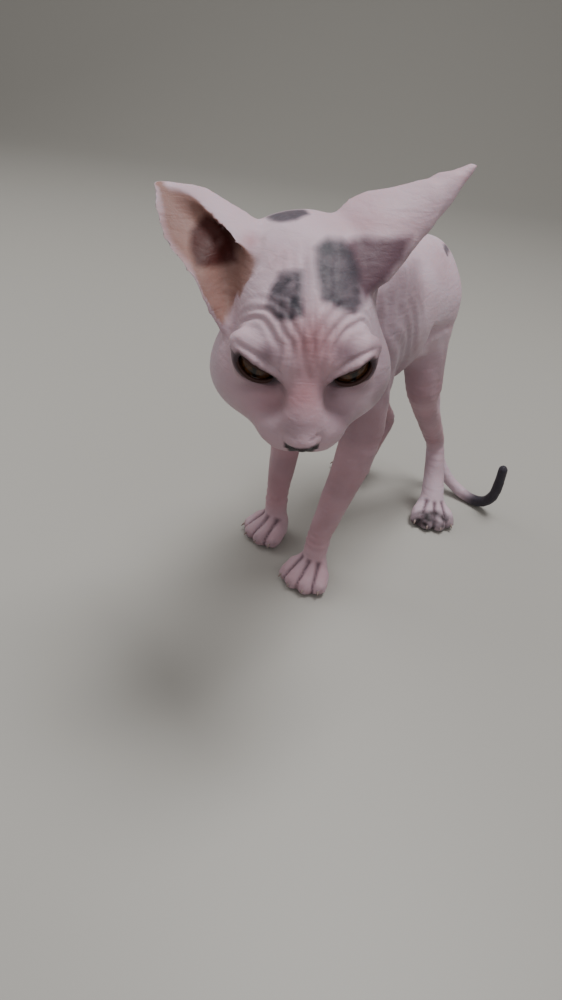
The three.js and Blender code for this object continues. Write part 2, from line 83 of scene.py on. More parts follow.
# The numbers that turn the place of a noise cell into its value.
HASH_AXES = np.array([374761393, 668265263, 2147483647])
HASH_SEED = 144665
HASH_STIR = 1274126177
HASH_BITS = 0xFFFFFFFF
VALUE_BITS = 0xFFFF


class Side(Enum):
    """The cat's own left or right, as the sign of its lateral axis."""

    LEFT = 1
    RIGHT = -1

    @property
    def word(self) -> str:
        """The name used in node and piece names."""
        return self.name.lower()


FLESH_NODES = (
    ["torso", "neck", "head", "lower_jaw", "tail_base", "tail_middle", "tail_tip"]
    + [f"ear_{s.word}" for s in Side]
    + [f"{part}_{s.word}" for s in Side for part in ("upper_foreleg", "forearm", "forepaw")]
    + [f"{part}_{s.word}" for s in Side for part in ("thigh", "shank", "hind_foot")]
)


def smooth_step(low: float, high: float, x: Array) -> Array:
    """A smooth ramp from 0 at low to 1 at high.

    Args:
        low: Where the ramp starts.
        high: Where it ends.
        x: Values to map.

    Returns:
        The ramp at each value.
    """
    t = np.clip((x - low) / (high - low), 0.0, 1.0)
    return t * t * (3.0 - 2.0 * t)


def bump(x: Array, width: float) -> Array:
    """A bell curve of x, one at zero, falling off over the width."""
    return np.exp(-((x / width) ** 2))


def value_noise(p: Array, scale: float, seed: int) -> Array:
    """Smooth seeded noise in space.

    Args:
        p: Points, one a row.
        scale: Size of one noise cell, in the unit of p.
        seed: Chooses the pattern.

    Returns:
        Values from -1 to 1, one a point.
    """
    q = p / scale
    cell = np.floor(q).astype(np.int64)
    f = q - cell
    f = f * f * (3.0 - 2.0 * f)
    total = np.zeros(len(p))
    for corner in range(8):
        step = np.array([corner & 1, corner >> 1 & 1, corner >> 2 & 1])
        mixed = ((cell + step) @ HASH_AXES + seed * HASH_SEED) & HASH_BITS
        mixed = ((mixed ^ (mixed >> 13)) * HASH_STIR) & HASH_BITS
        value = (mixed & VALUE_BITS) / (VALUE_BITS / 2) - 1.0
        weight = np.prod(np.where(step == 1, f, 1.0 - f), axis=1)
        total += value * weight
    return total


def deselect_all() -> None:
    """Clears the selection, which the loaded nodes otherwise fill."""
    bpy.ops.object.select_all(action="DESELECT")


def select_only(obj: bpy.types.Object) -> None:
    """Makes one object the only one selected, and active.

    Args:
        obj: The object.
    """
    deselect_all()
    obj.select_set(True)
    bpy.context.view_layer.objects.active = obj


def apply_modifier(obj: bpy.types.Object, kind: str, **settings: object) -> None:
    """Adds one modifier with its settings and applies it.

    Args:
        obj: The mesh object to change.
        kind: Blender's name for the modifier type.
        **settings: Attributes set on the modifier before it is applied.
    """
    select_only(obj)
    modifier = obj.modifiers.new(kind.lower(), kind)
    for name, value in settings.items():
        setattr(modifier, name, value)
    bpy.ops.object.modifier_apply(modifier=modifier.name)


def shade_smooth(obj: bpy.types.Object) -> None:
    """Shades every face of a mesh smoothly."""
    obj.data.polygons.foreach_set("use_smooth", [True] * len(obj.data.polygons))


def weld(obj: bpy.types.Object) -> None:
    """Merges a mesh's doubles and turns its faces outward.

    Args:
        obj: The mesh object, changed in place.
    """
    select_only(obj)
    bpy.ops.object.mode_set(mode="EDIT")
    bpy.ops.mesh.select_all(action="SELECT")
    bpy.ops.mesh.remove_doubles(threshold=WELD_DISTANCE)
    bpy.ops.mesh.normals_make_consistent(inside=False)
    bpy.ops.object.mode_set(mode="OBJECT")


def join_meshes(name: str, pieces: list) -> bpy.types.Object:
    """Joins mesh objects into one.

    Args:
        name: The name of the whole.
        pieces: The objects, of which the first becomes the whole.

    Returns:
        The whole.
    """
    deselect_all()
    for piece in pieces:
        piece.select_set(True)
    bpy.context.view_layer.objects.active = pieces[0]
    bpy.ops.object.join()
    whole = bpy.context.view_layer.objects.active
    whole.name = name
    whole.data.name = name
    return whole


def join_pieces(name: str, pieces: list) -> bpy.types.Object:
    """Joins meshes into one that is welded, smooth and faces outward.

    Args:
        name: The name of the whole.
        pieces: The objects, of which the first becomes the whole.

    Returns:
        The whole.
    """
    whole = join_meshes(name, pieces)
    weld(whole)
    shade_smooth(whole)
    return whole


def read_rows(items: bpy.types.bpy_prop_collection, name: str, width: int, kind: type = float) -> Array:
    """Reads one property of all a mesh's vertices, edges or faces.

    Args:
        items: The vertices, edges or faces.
        name: The property's name.
        width: How many numbers it has.
        kind: The kind of number.

    Returns:
        One row for each item.
    """
    flat = np.zeros(len(items) * width, dtype=kind)
    items.foreach_get(name, flat)
    return flat.reshape(-1, width)


def read_points(obj: bpy.types.Object) -> Array:
    """The mesh's vertices in millimetres, one a row."""
    return read_rows(obj.data.vertices, "co", 3) / MM


def write_points(obj: bpy.types.Object, points: Array) -> None:
    """Puts vertices given in millimetres back on the mesh."""
    obj.data.vertices.foreach_set("co", (points * MM).ravel())
    obj.data.update()


def read_normals(obj: bpy.types.Object) -> Array:
    """The mesh's vertex normals, one a row."""
    return read_rows(obj.data.vertices, "normal", 3)


def read_edges(obj: bpy.types.Object) -> Array:
    """The mesh's edges as pairs of vertex numbers."""
    return read_rows(obj.data.edges, "vertices", 2, np.int32)


# The share of the way to their neighbours' mean that points move in a step of relax.
STEP_IN = 0.62
STEP_OUT = -0.64
STEP_ALONE = 0.5


def relax(points: Array, edges: Array, rounds: int, weight: Array, keep_volume: bool = True) -> Array:
    """Smooths points along mesh edges.

    Args:
        points: Vertices, one a row.
        edges: Pairs of vertex numbers.
        rounds: How many times to smooth.
        weight: How strongly each vertex follows, from 0 to 1.
        keep_volume: Follows each step in with a step out, so that limbs keep their girth.

    Returns:
        The smoothed vertices.
    """
    a, b = edges[:, 0], edges[:, 1]
    count = np.maximum(np.bincount(a, minlength=len(points)) + np.bincount(b, minlength=len(points)), 1)
    steps = (STEP_IN, STEP_OUT) if keep_volume else (STEP_ALONE,)
    p = points.copy()
    for _ in range(rounds):
        for step in steps:
            mean = np.empty_like(p)
            for axis in range(3):
                mean[:, axis] = np.bincount(a, p[b, axis], len(p)) + np.bincount(b, p[a, axis], len(p))
            p += (mean / count[:, None] - p) * (step * weight)[:, None]
    return p


def set_attribute(obj: bpy.types.Object, name: str, values: Array) -> None:
    """Stores one number a vertex, for a material to read.

    Args:
        obj: The mesh object.
        name: The attribute's name.
        values: One number a vertex.
    """
    layer = obj.data.attributes.new(name, "FLOAT", "POINT")
    layer.data.foreach_set("value", np.clip(values, 0.0, 1.0).astype(np.float32))


def inside_outline(at: Array, outline: tuple, soft: float) -> Array:
    """How far points lie inside a closed outline on the picture.

    Args:
        at: Points on the picture, one a row.
        outline: The outline's corners in order.
        soft: Half the width of its soft edge.

    Returns:
        One inside, zero outside, smooth across the edge.
    """
    corners = np.array(outline, dtype=float)
    away = np.full(len(at), FAR_AWAY)
    is_in = np.zeros(len(at), dtype=bool)
    for a, b in zip(corners, np.roll(corners, -1, axis=0)):
        edge = b - a
        t = np.clip((at - a) @ edge / (edge @ edge), 0.0, 1.0)
        away = np.minimum(away, np.linalg.norm(at - a - t[:, None] * edge, axis=1))
        spans = (a[1] > at[:, 1]) != (b[1] > at[:, 1])
        rise = edge[1] if abs(edge[1]) > TINY else TINY
        is_in ^= spans & (at[:, 0] < a[0] + edge[0] * (at[:, 1] - a[1]) / rise)
    return smooth_step(soft, -soft, np.where(is_in, -away, away))


def nearest_on_line(points: Array, line: tuple) -> tuple:
    """The nearest points of a line of several stations.

    Args:
        points: Points, one a row.
        line: The line's stations.

    Returns:
        For each point the nearest point of the line, and how far along it lies from 0 to 1.
    """
    stations = np.array(line, dtype=float)
    best = np.full(len(points), FAR_AWAY)
    nearest = np.zeros_like(points)
    share = np.zeros(len(points))
    for i, (a, b) in enumerate(zip(stations, stations[1:])):
        edge = b - a
        t = np.clip((points - a) @ edge / (edge @ edge), 0.0, 1.0)
        on = a + t[:, None] * edge
        away = np.linalg.norm(points - on, axis=1)
        closer = away < best
        best = np.where(closer, away, best)
        nearest[closer] = on[closer]
        share = np.where(closer, (i + t) / (len(stations) - 1), share)
    return nearest, share


def turn_matrix(z: float, x: float, y: float) -> Array:
    """Turns about Z, then X, then Y of the turned frame, in radians."""
    turned = Matrix.Rotation(z, 3, "Z") @ Matrix.Rotation(x, 3, "X") @ Matrix.Rotation(y, 3, "Y")
    return np.array(turned)


@dataclass
class HeadFrame:
    """The head's own axes: nose to -Y, crown to +Z, left to +X, in millimetres.

    The folds and markings were placed on a head at model_origin. The shift is how far the packed
    head lies from there.
    """

    down_deg: float = 24.0
    tilt_deg: float = -4.3
    turn_deg: float = 45.4
    scale: float = 1.04
    eye: tuple = (16.5, -22.5, 7.0)
    model_origin: tuple = (36.9, -126.9, 193.6)

    def __post_init__(self) -> None:
        """Finds the head from the middles of its two eyes."""
        down, tilt, turn = (math.radians(v) for v in (self.down_deg, self.tilt_deg, self.turn_deg))
        self.axes = turn_matrix(turn, down, tilt)
        middles = [sum(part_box(f"eye_{s.word}"), Vector()) / 2 for s in Side]
        between = np.array((middles[0] + middles[1]) / 2) / MM
        self.origin = between - self.axes @ (np.array([0.0, self.eye[1], self.eye[2]]) * self.scale)
        self.shift = self.origin - np.array(self.model_origin)

    def inside(self, points: Array) -> Array:
        """Turns points of the cat, in millimetres, into the head's own frame."""
        return (points - self.origin) @ self.axes / self.scale

    def outside(self, points: Array) -> Array:
        """Turns points of the head's frame into the cat's, in millimetres."""
        return (np.asarray(points) * self.scale) @ self.axes.T + self.origin

    def direction(self, vector: Array) -> Array:
        """Turns a direction of the head's frame into the cat's."""
        return np.asarray(vector) @ self.axes.T

    def eye_middle(self, side: Side) -> Array:
        """The middle of one eyeball in the head's frame."""
        return np.array(self.eye) * np.array([side.value, 1.0, 1.0])


@dataclass
class Opening:
    """The opening between the lids of one eye, in the head's frame.

    Across runs outward to the outer corner, and up to the brow. The lower lid is an oval, and
    lower_mean, about its mean radius, turns shares of it into millimetres. From lids_part
    upwards a band round the opening has its width on the upper lid.
    """

    head: HeadFrame
    side: Side
    half_width: float = 7.9
    below: float = 4.6
    above: float = 1.6
    slant: float = 0.34
    splay: float = 0.2
    lift: float = 0.35
    lower_mean: float = 5.2
    lids_part: float = 0.5

    def __post_init__(self) -> None:
        """Sets the opening's middle and axes for its side."""
        outward = self.side.value
        self.centre = self.head.eye_middle(self.side)
        self.axes = turn_matrix(self.splay * outward, -self.lift, -self.slant * outward)

    def place(self, h: Array) -> tuple:
        """Where points lie on the eye.

        Args:
            h: Points in the head's frame.

        Returns:
            Across, up, and how far in front of the eye's middle.
        """
        q = (h - self.centre) @ self.axes
        return q[:, 0] * self.side.value, q[:, 2], -q[:, 1]

    def clearance(self, across: Array, up: Array) -> tuple:
        """Millimetres from the edge of the lower lid and of the upper lid, outward."""
        lower = (np.hypot(across / self.half_width, up / self.below) - 1.0) * self.lower_mean
        return lower, up - self.above

    def ring(self, h: Array, below: float, above: float) -> Array:
        """A band of skin round the opening.

        Args:
            h: Points in the head's frame.
            below: The band's width on the lower lid.
            above: Its width on the upper lid.

        Returns:
            One at the edge of the opening and inside it, zero outside the band.
        """
        across, up, ahead = self.place(h)
        edge = np.maximum(*self.clearance(across, up))
        width = np.where(up < self.lids_part, below, above)
        return smooth_step(1.0, 0.1, edge / width) * smooth_step(3.0, 5.0, ahead)

    def on_lid(self, across: Array, up: Array, radius: float) -> Array:
        """Points of the head's frame over the eye at a radius from its middle."""
        ahead = -np.sqrt(radius**2 - across**2 - up**2)
        return np.stack([across * self.side.value, ahead, up], axis=1) @ self.axes.T + self.centre


@dataclass
class Viewpoint:
    """Where the cat is seen from, and how its points fall on the picture."""

    head: HeadFrame
    lens_mm: float = 24.0
    sensor_mm: float = 36.0
    pitch_deg: float = 35.6
    roll_deg: float = 8.21
    turn_deg: float = 38.4
    place_mm: tuple = (206.1, -338.2, 298.0)
    picture: tuple = (562, 1000)

    def __post_init__(self) -> None:
        """Sets the place and the axes of the view."""
        turn, pitch, roll = (math.radians(v) for v in (self.turn_deg, self.pitch_deg, self.roll_deg))
        level = np.array([-math.sin(turn), math.cos(turn), 0.0])
        right = np.array([math.cos(turn), math.sin(turn), 0.0])
        top = np.array([0.0, 0.0, 1.0])
        self.level = level
        self.forward = level * math.cos(pitch) - top * math.sin(pitch)
        up = level * math.sin(pitch) + top * math.cos(pitch)
        self.right = right * math.cos(roll) + up * math.sin(roll)
        self.up = up * math.cos(roll) - right * math.sin(roll)
        self.at = np.array(self.place_mm) + self.head.shift

    def on_picture(self, points: Array) -> Array:
        """Where points of the cat fall on the picture.

        Args:
            points: Points in millimetres, one a row.

        Returns:
            Pixels across and down, one row a point.
        """
        scale = self.lens_mm / self.sensor_mm * self.picture[1]
        out = points - self.at
        deep = out @ self.forward
        across = self.picture[0] / 2 + scale * (out @ self.right) / deep
        down = self.picture[1] / 2 - scale * (out @ self.up) / deep
        return np.stack([across, down], axis=1)

    def facing(self, points: Array, normals: Array) -> Array:
        """How squarely surfaces face the viewer.

        Args:
            points: Points of the surfaces, one a row.
            normals: Their normals.

        Returns:
            Values from -1 to 1, one a point.
        """
        back = self.at - points
        back /= np.linalg.norm(back, axis=1)[:, None]
        return np.sum(back * normals, axis=1)


@dataclass(frozen=True)
class Paw:
    """One paw: where it stands, which way its four toes point and how dark they are."""

    name: str
    at: tuple
    turn: float
    size: float
    dark: float
    toe_spread: float = 0.24
    toe_pitch: float = 5.6
    outer_reach: float = 14.0
    inner_reach: float = 18.0
    knuckle_share: float = 0.45
    knuckle_height: float = 9.5
    tip_height: float = 5.6
    tip_sink: float = 0.6

    def toes(self) -> list:
        """The four toes, from the cat's right to its left.

        Returns:
            For each toe its knuckle, its tip and its heading.
        """
        toes = []
        sideways = np.array([math.cos(self.turn), math.sin(self.turn), 0.0])
        for slot in (-1.5, -0.5, 0.5, 1.5):
            angle = self.turn + slot * self.toe_spread
            reach = (self.outer_reach if abs(slot) > 1 else self.inner_reach) * self.size
            heading = np.array([math.sin(angle), -math.cos(angle), 0.0])
            across = sideways * slot * self.toe_pitch * self.size
            knuckle = np.array(self.at) + heading * reach * self.knuckle_share + across
            knuckle[2] = self.knuckle_height * self.size
            tip = knuckle + heading * reach * (1.0 - self.knuckle_share)
            tip[2] = self.tip_height * self.size - self.tip_sink
            toes.append((knuckle, tip, heading))
        return toes


PAWS = (
    Paw("forepaw_left", (18.5, -59.0, 9.0), 0.216, 0.93, 0.35),
    Paw("forepaw_right", (-29.0, -45.0, 9.0), -0.12, 0.93, 0.35),
    Paw("hind_foot_left", (33.0, 65.0, 10.0), 0.72, 0.92, 1.0),
    Paw("hind_foot_right", (-39.0, 66.0, 10.0), -0.4, 0.92, 0.8),
)


def new_material(name: str) -> tuple:
    """Starts a node material.

    Args:
        name: The finish's name.

    Returns:
        The material, its node tree and its shader node.
    """
    material = bpy.data.materials.new(name)
    material.use_nodes = True
    tree = material.node_tree
    return material, tree, tree.nodes["Principled BSDF"]


def fill_inputs(node: bpy.types.Node, values: dict) -> None:
    """Sets a node's inputs, each given by its name."""
    for name, value in values.items():
        node.inputs[name].default_value = value


def feed(tree: bpy.types.NodeTree, value: object, socket: bpy.types.NodeSocket) -> None:
    """Puts a plain value or another node's output into an input.

    Args:
        tree: The material's node tree.
        value: A number, a colour or an output socket.
        socket: The input that gets it.
    """
    if isinstance(value, bpy.types.NodeSocket):
        tree.links.new(value, socket)
    else:
        socket.default_value = value


def object_place(tree: bpy.types.NodeTree) -> bpy.types.NodeSocket:
    """The cat's own coordinates, on which every pattern lies."""
    return tree.nodes.new("ShaderNodeTexCoord").outputs["Object"]


def noise_pattern(
    tree: bpy.types.NodeTree, place: bpy.types.NodeSocket, scale: float, detail: float
) -> bpy.types.NodeSocket:
    """A noise pattern.

    Args:
        tree: The material's node tree.
        place: The coordinates that it lies on.
        scale: How many cells it has to the metre.
        detail: How many finer layers it has.

    Returns:
        Its value socket.
    """
    node = tree.nodes.new("ShaderNodeTexNoise")
    fill_inputs(node, {"Scale": scale, "Detail": detail})
    tree.links.new(place, node.inputs["Vector"])
    return node.outputs["Fac"]


def attribute_value(tree: bpy.types.NodeTree, name: str) -> bpy.types.NodeSocket:
    """Reads one of the mesh's own attributes.

    Args:
        tree: The material's node tree.
        name: The attribute's name.

    Returns:
        Its value socket.
    """
    node = tree.nodes.new("ShaderNodeAttribute")
    node.attribute_name = name
    return node.outputs["Fac"]


def calculate(tree: bpy.types.NodeTree, operation: str, *values: object) -> bpy.types.NodeSocket:
    """One step of arithmetic in a material.

    Args:
        tree: The material's node tree.
        operation: Blender's name for the step.
        *values: Numbers or value sockets, in the step's own order.

    Returns:
        The result's socket.
    """
    node = tree.nodes.new("ShaderNodeMath")
    node.operation = operation
    for value, socket in zip(values, node.inputs):
        feed(tree, value, socket)
    return node.outputs[0]


def map_range(tree: bpy.types.NodeTree, value: bpy.types.NodeSocket, ends: dict) -> bpy.types.NodeSocket:
    """Maps a value from one range to another.

    Args:
        tree: The material's node tree.
        value: The value socket.
        ends: The ends of the ranges that aren't 0 and 1, by name.

    Returns:
        The result's socket.
    """
    node = tree.nodes.new("ShaderNodeMapRange")
    fill_inputs(node, ends)
    tree.links.new(value, node.inputs["Value"])
    return node.outputs["Result"]


def mix_colours(
    tree: bpy.types.NodeTree, first: object, second: object, share: bpy.types.NodeSocket
) -> bpy.types.NodeSocket:
    """Mixes two colours.

    Args:
        tree: The material's node tree.
        first: The colour, or its socket, where the share is 0.
        second: The colour, or its socket, where the share is 1.
        share: The share's value socket.

    Returns:
        The mixed colour's socket.
    """
    node = tree.nodes.new("ShaderNodeMix")
    node.data_type = "RGBA"
    colours = [socket for socket in node.inputs if socket.type == "RGBA"]
    for value, socket in zip((first, second), colours):
        feed(tree, value, socket)
    tree.links.new(share, node.inputs["Factor"])
    return next(socket for socket in node.outputs if socket.type == "RGBA")


@dataclass(frozen=True)
class SkinFinish:
    """Bare cat skin: pale lavender pink, flushed where thin, grey where pigmented, with shade painted in
    purple grey and in the ears' deep hollows.
    """

    pale: tuple = (0.56, 0.425, 0.49, 1.0)
    flushed: tuple = (0.40, 0.2, 0.225, 1.0)
    # Painted shade: the purple grey laid where shade falls on the skin.
    shade: tuple = (0.12, 0.065, 0.085, 1.0)
    grey: tuple = (0.036, 0.031, 0.043, 1.0)
    tan: tuple = (0.24, 0.12, 0.09, 1.0)
    # The ears' deep hollows: partly their own red, partly painted shade.
    cavity: tuple = (0.055, 0.007, 0.005, 1.0)
    leather: tuple = (0.022, 0.015, 0.018, 1.0)
    smoothest: float = 0.45
    roughest: float = 0.67
    blotch_scale: float = 55.0
    grain_scale: float = 420.0
    pore_scale: float = 1900.0
    crease_scale: float = 520.0
    wrinkle_scale: float = 310.0
    wrinkle_squash: tuple = (0.28, 0.28, 1.0)
    wrinkle_warp: float = 0.6

    def build(self) -> bpy.types.Material:
        """Makes the skin material.

        Returns:
            The material, reading the skin's own attributes.
        """
        material, tree, shader = new_material("bare_skin")
        place = object_place(tree)
        blotch = noise_pattern(tree, place, self.blotch_scale, 3.0)
        grain = noise_pattern(tree, place, self.grain_scale, 4.0)
        pores = noise_pattern(tree, place, self.pore_scale, 2.0)
        colour = self.pale
        # The shade layer is painted shade; the cavity layer is partly painted shade, and the leather layer
        # also holds painted shadow under the nose.
        for name, tone, pattern, amount in (
            ("flush", self.flushed, blotch, 0.35),
            ("shade", self.shade, blotch, 0.2),
            ("tan", self.tan, blotch, 0.2),
            ("grey", self.grey, grain, 0.12),
            ("cavity", self.cavity, blotch, 0.2),
            ("leather", self.leather, grain, 0.2),
        ):
            colour = mix_colours(tree, colour, tone, self._spread(tree, name, pattern, amount))
        tree.links.new(colour, shader.inputs["Base Color"])
        fill_inputs(shader, {
            "Subsurface Weight": 0.14,
            "Subsurface Radius": (1.0, 0.35, 0.22),
            "Subsurface Scale": 0.003,
            "Sheen Weight": 0.05,
            "Sheen Roughness": 0.5,
            "Specular IOR Level": 0.25,
        })
        roughness = map_range(tree, grain, {"To Min": self.smoothest, "To Max": self.roughest})
        tree.links.new(roughness, shader.inputs["Roughness"])
        tree.links.new(self._relief(tree, place, grain, pores), shader.inputs["Normal"])
        return material

    @staticmethod
    def _spread(
        tree: bpy.types.NodeTree, name: str, pattern: bpy.types.NodeSocket, amount: float
    ) -> bpy.types.NodeSocket:
        """An attribute whose soft edge is broken up by a pattern.

        Args:
            tree: The material's node tree.
            name: The attribute's name.
            pattern: The pattern's value socket.
            amount: How strongly the pattern moves the edge.

        Returns:
            The value socket, which stays 0 where the attribute is 0.
        """
        value = attribute_value(tree, name)
        centred = calculate(tree, "SUBTRACT", pattern, 0.5)
        moved = calculate(tree, "MULTIPLY_ADD", centred, amount, value)
        gated = calculate(tree, "MULTIPLY", moved, map_range(tree, value, {"From Max": 0.2}))
        gated.node.use_clamp = True
        return gated

    def _relief(
        self, tree: bpy.types.NodeTree, place: bpy.types.NodeSocket,
        grain: bpy.types.NodeSocket, pores: bpy.types.NodeSocket,
    ) -> bpy.types.NodeSocket:
        """Crosswise wrinkles, soft lumps, creases and pores.

        Args:
            tree: The material's node tree.
            place: The coordinates that they lie on.
            grain: The value socket of the lumps' pattern.
            pores: The value socket of the pores' pattern.

        Returns:
            The normal's socket.
        """
        squash = tree.nodes.new("ShaderNodeMapping")
        fill_inputs(squash, {"Scale": self.wrinkle_squash})
        tree.links.new(place, squash.inputs["Vector"])
        wrinkles = noise_pattern(tree, squash.outputs["Vector"], self.wrinkle_scale, 3.0)
        fill_inputs(wrinkles.node, {"Distortion": self.wrinkle_warp})
        creases = tree.nodes.new("ShaderNodeTexVoronoi")
        creases.feature = "DISTANCE_TO_EDGE"
        fill_inputs(creases, {"Scale": self.crease_scale})
        tree.links.new(place, creases.inputs["Vector"])
        normal = None
        for height, strength, distance in (
            (wrinkles, 0.4, 0.0011),
            (grain, 0.25, 0.0006),
            (creases.outputs["Distance"], 0.2, 0.0002),
            (pores, 0.2, 0.0001),
        ):
            layer = tree.nodes.new("ShaderNodeBump")
            fill_inputs(layer, {"Strength": strength, "Distance": distance})
            tree.links.new(height, layer.inputs["Height"])
            if normal is not None:
                tree.links.new(normal, layer.inputs["Normal"])
            normal = layer.outputs["Normal"]
        return normal


# Where loose skin hides the step between two solids: the middle and the reach of each place.
SLACK_JOINTS = (
    ((-12.0, 70.0, 187.0), 11.0),
    ((20.0, 28.0, 112.0), 13.0),
    ((-35.0, 24.0, 112.0), 13.0),
    ((24.5, -42.0, 112.0), 11.0),
    ((-32.0, -36.0, 112.0), 11.0),
)

# The middle line of each ear from its root to its tip, in the head's frame.
EAR_LINES = {
    Side.RIGHT: ((-20, -2, 12), (-27, 0, 17), (-34, 9, 23), (-44, 21, 26), (-52.8, 34, 30), (-59, 43, 33)),
    Side.LEFT: ((12, 16, 12), (18, 20, 20), (27, 29, 21), (40, 38, 23), (54.5, 48, 29), (68, 59, 36)),
}


@dataclass
class Skin:
    """The one skin over all the solids of flesh."""

    head: HeadFrame
    voxel_mm: float = 1.52
    swell_mm: float = 0.3
    ear_swell_mm: float = 0.95
    body_rounds: int = 22
    ear_even_rounds: int = 7
    ear_rounds: int = 22
    jaw_rounds: int = 30
    slack_rounds: int = 24
    face_back_mm: float = -12.0
    face_half_width_mm: float = 33.0
    face_half_height_mm: float = 34.0
    face_reach_mm: float = 70.0

    def build(self) -> bpy.types.Object:
        """Joins, remeshes, smooths, sculpts and dresses the skin.

        Returns:
            The skin's object.
        """
        skin = self._join()
        log.info("skin joined: %d faces", len(skin.data.polygons))
        self._remesh(skin)
        log.info("skin remeshed: %d faces", len(skin.data.polygons))
        self._relax(skin)
        self._refine(skin)
        log.info("skin refined: %d faces", len(skin.data.polygons))
        Sculptor(self.head).sculpt(skin)
        Markings(self.head, Viewpoint(self.head)).paint(skin)
        skin.data.materials.clear()
        skin.data.materials.append(SkinFinish().build())
        shade_smooth(skin)
        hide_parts(*FLESH_NODES)
        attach(skin, "root")
        return skin

    def _join(self) -> bpy.types.Object:
        """Copies the solids of flesh, swells each a little and joins them.

        Returns:
            The joined object.
        """
        copies = []
        for name in FLESH_NODES:
            source = bpy.data.objects[name]
            copy = bpy.data.objects.new(f"copy_{name}", source.data.copy())
            bpy.context.scene.collection.objects.link(copy)
            weld(copy)
            points = read_points(copy)
            write_points(copy, points + read_normals(copy) * self._swell(points)[:, None])
            copies.append(copy)
        return join_meshes("skin", copies)

    def _swell(self, points: Array) -> Array:
        """How far the solids are swollen before they are joined: more on the thin ears.

        Args:
            points: Points of the cat, one a row.

        Returns:
            One distance a point.
        """
        h = self.head.inside(points)
        ear = np.zeros(len(h))
        for line in EAR_LINES.values():
            nearest, share = nearest_on_line(h, line)
            near = smooth_step(30.0, 22.0, np.linalg.norm(nearest - h, axis=1))
            ear = np.maximum(ear, smooth_step(0.12, 0.3, share) * near)
        return self.swell_mm + self.ear_swell_mm * ear

    def _remesh(self, skin: bpy.types.Object) -> None:
        """Makes one closed surface of the joined solids."""
        apply_modifier(skin, "REMESH", mode="VOXEL", voxel_size=self.voxel_mm * MM, use_smooth_shade=True)

    def _relax(self, skin: bpy.types.Object) -> None:
        """Takes the flats and the remesh steps out of the surface, and the swelling back.

        Args:
            skin: The skin's object, changed in place.
        """
        edges = read_edges(skin)
        points = read_points(skin)
        smoothed = relax(points, edges, self.body_rounds, self._firmness(points))
        write_points(skin, smoothed)
        swell = self._swell(smoothed)
        shrunk = smoothed - read_normals(skin) * swell[:, None]
        ears = (swell - self.swell_mm) / self.ear_swell_mm
        shrunk = relax(shrunk, edges, self.ear_even_rounds, ears, keep_volume=False)
        shrunk = relax(shrunk, edges, self.ear_rounds, ears)
        shrunk = relax(shrunk, edges, self.jaw_rounds, self._jaw_seam(shrunk), keep_volume=False)
        shrunk = relax(shrunk, edges, self.slack_rounds, self._slack(shrunk), keep_volume=False)
        write_points(skin, shrunk)

    def _firmness(self, points: Array) -> Array:
        """How strongly the body is smoothed: less round the eyes and on the paws.

        Args:
            points: Points of the cat, one a row.

        Returns:
            Weights from 0 to 1.
        """
        h = self.head.inside(points)
        weight = np.ones(len(points))
        for side in Side:
            near = np.linalg.norm(h - self.head.eye_middle(side), axis=1)
            weight *= 1.0 - 0.5 * bump(near, 12.0)
        return weight * (1.0 - 0.35 * smooth_step(16.0, 8.0, points[:, 2]))

    def _jaw_seam(self, points: Array) -> Array:
        """How near points lie to the seam between cheek and lower jaw.

        Args:
            points: Points of the cat, one a row.

        Returns:
            Weights from 0 to 1.
        """
        h = self.head.inside(points)
        outward = np.abs(h[:, 0])
        seam = bump(h[:, 2] + 15.5 - 0.12 * (h[:, 1] + 40.0), 6.0)
        seam *= smooth_step(10.0, 14.0, outward) * smooth_step(40.0, 34.0, outward)
        return seam * smooth_step(4.0, -6.0, h[:, 1])

    def _slack(self, points: Array) -> Array:
        """How near points lie to a joint that loose skin hides.

        Args:
            points: Points of the cat, one a row.

        Returns:
            Weights from 0 to 1.
        """
        p = points - self.head.shift
        near = np.zeros(len(p))
        for at, reach in SLACK_JOINTS:
            near = np.maximum(near, bump(np.linalg.norm(p - np.array(at), axis=1), reach))
        return near

    def _refine(self, skin: bpy.types.Object) -> None:
        """Splits the face's squares finer, so that folds and lids can be sculpted.

        Args:
            skin: The skin's object, changed in place and left in triangles.
        """
        select_only(skin)
        mesh = skin.data
        centre = self.head.inside(read_rows(mesh.polygons, "center", 3) / MM)
        face = centre[:, 1] < self.face_back_mm
        face &= np.abs(centre[:, 0]) < self.face_half_width_mm
        face &= np.abs(centre[:, 2]) < self.face_half_height_mm
        face &= np.linalg.norm(centre, axis=1) < self.face_reach_mm
        bpy.ops.object.mode_set(mode="EDIT")
        bpy.ops.mesh.select_mode(type="FACE")
        bpy.ops.object.mode_set(mode="OBJECT")
        mesh.polygons.foreach_set("select", face)
        bpy.ops.object.mode_set(mode="EDIT")
        bpy.ops.mesh.subdivide(number_cuts=1, smoothness=0.0)
        bpy.ops.mesh.select_all(action="SELECT")
        bpy.ops.mesh.quads_convert_to_tris(quad_method="BEAUTY", ngon_method="BEAUTY")
        bpy.ops.object.mode_set(mode="OBJECT")


def mouth_height(h: Array) -> Array:
    """The height of the line between the lips at points of the head's frame."""
    return -15.6 + 0.012 * h[:, 0] ** 2


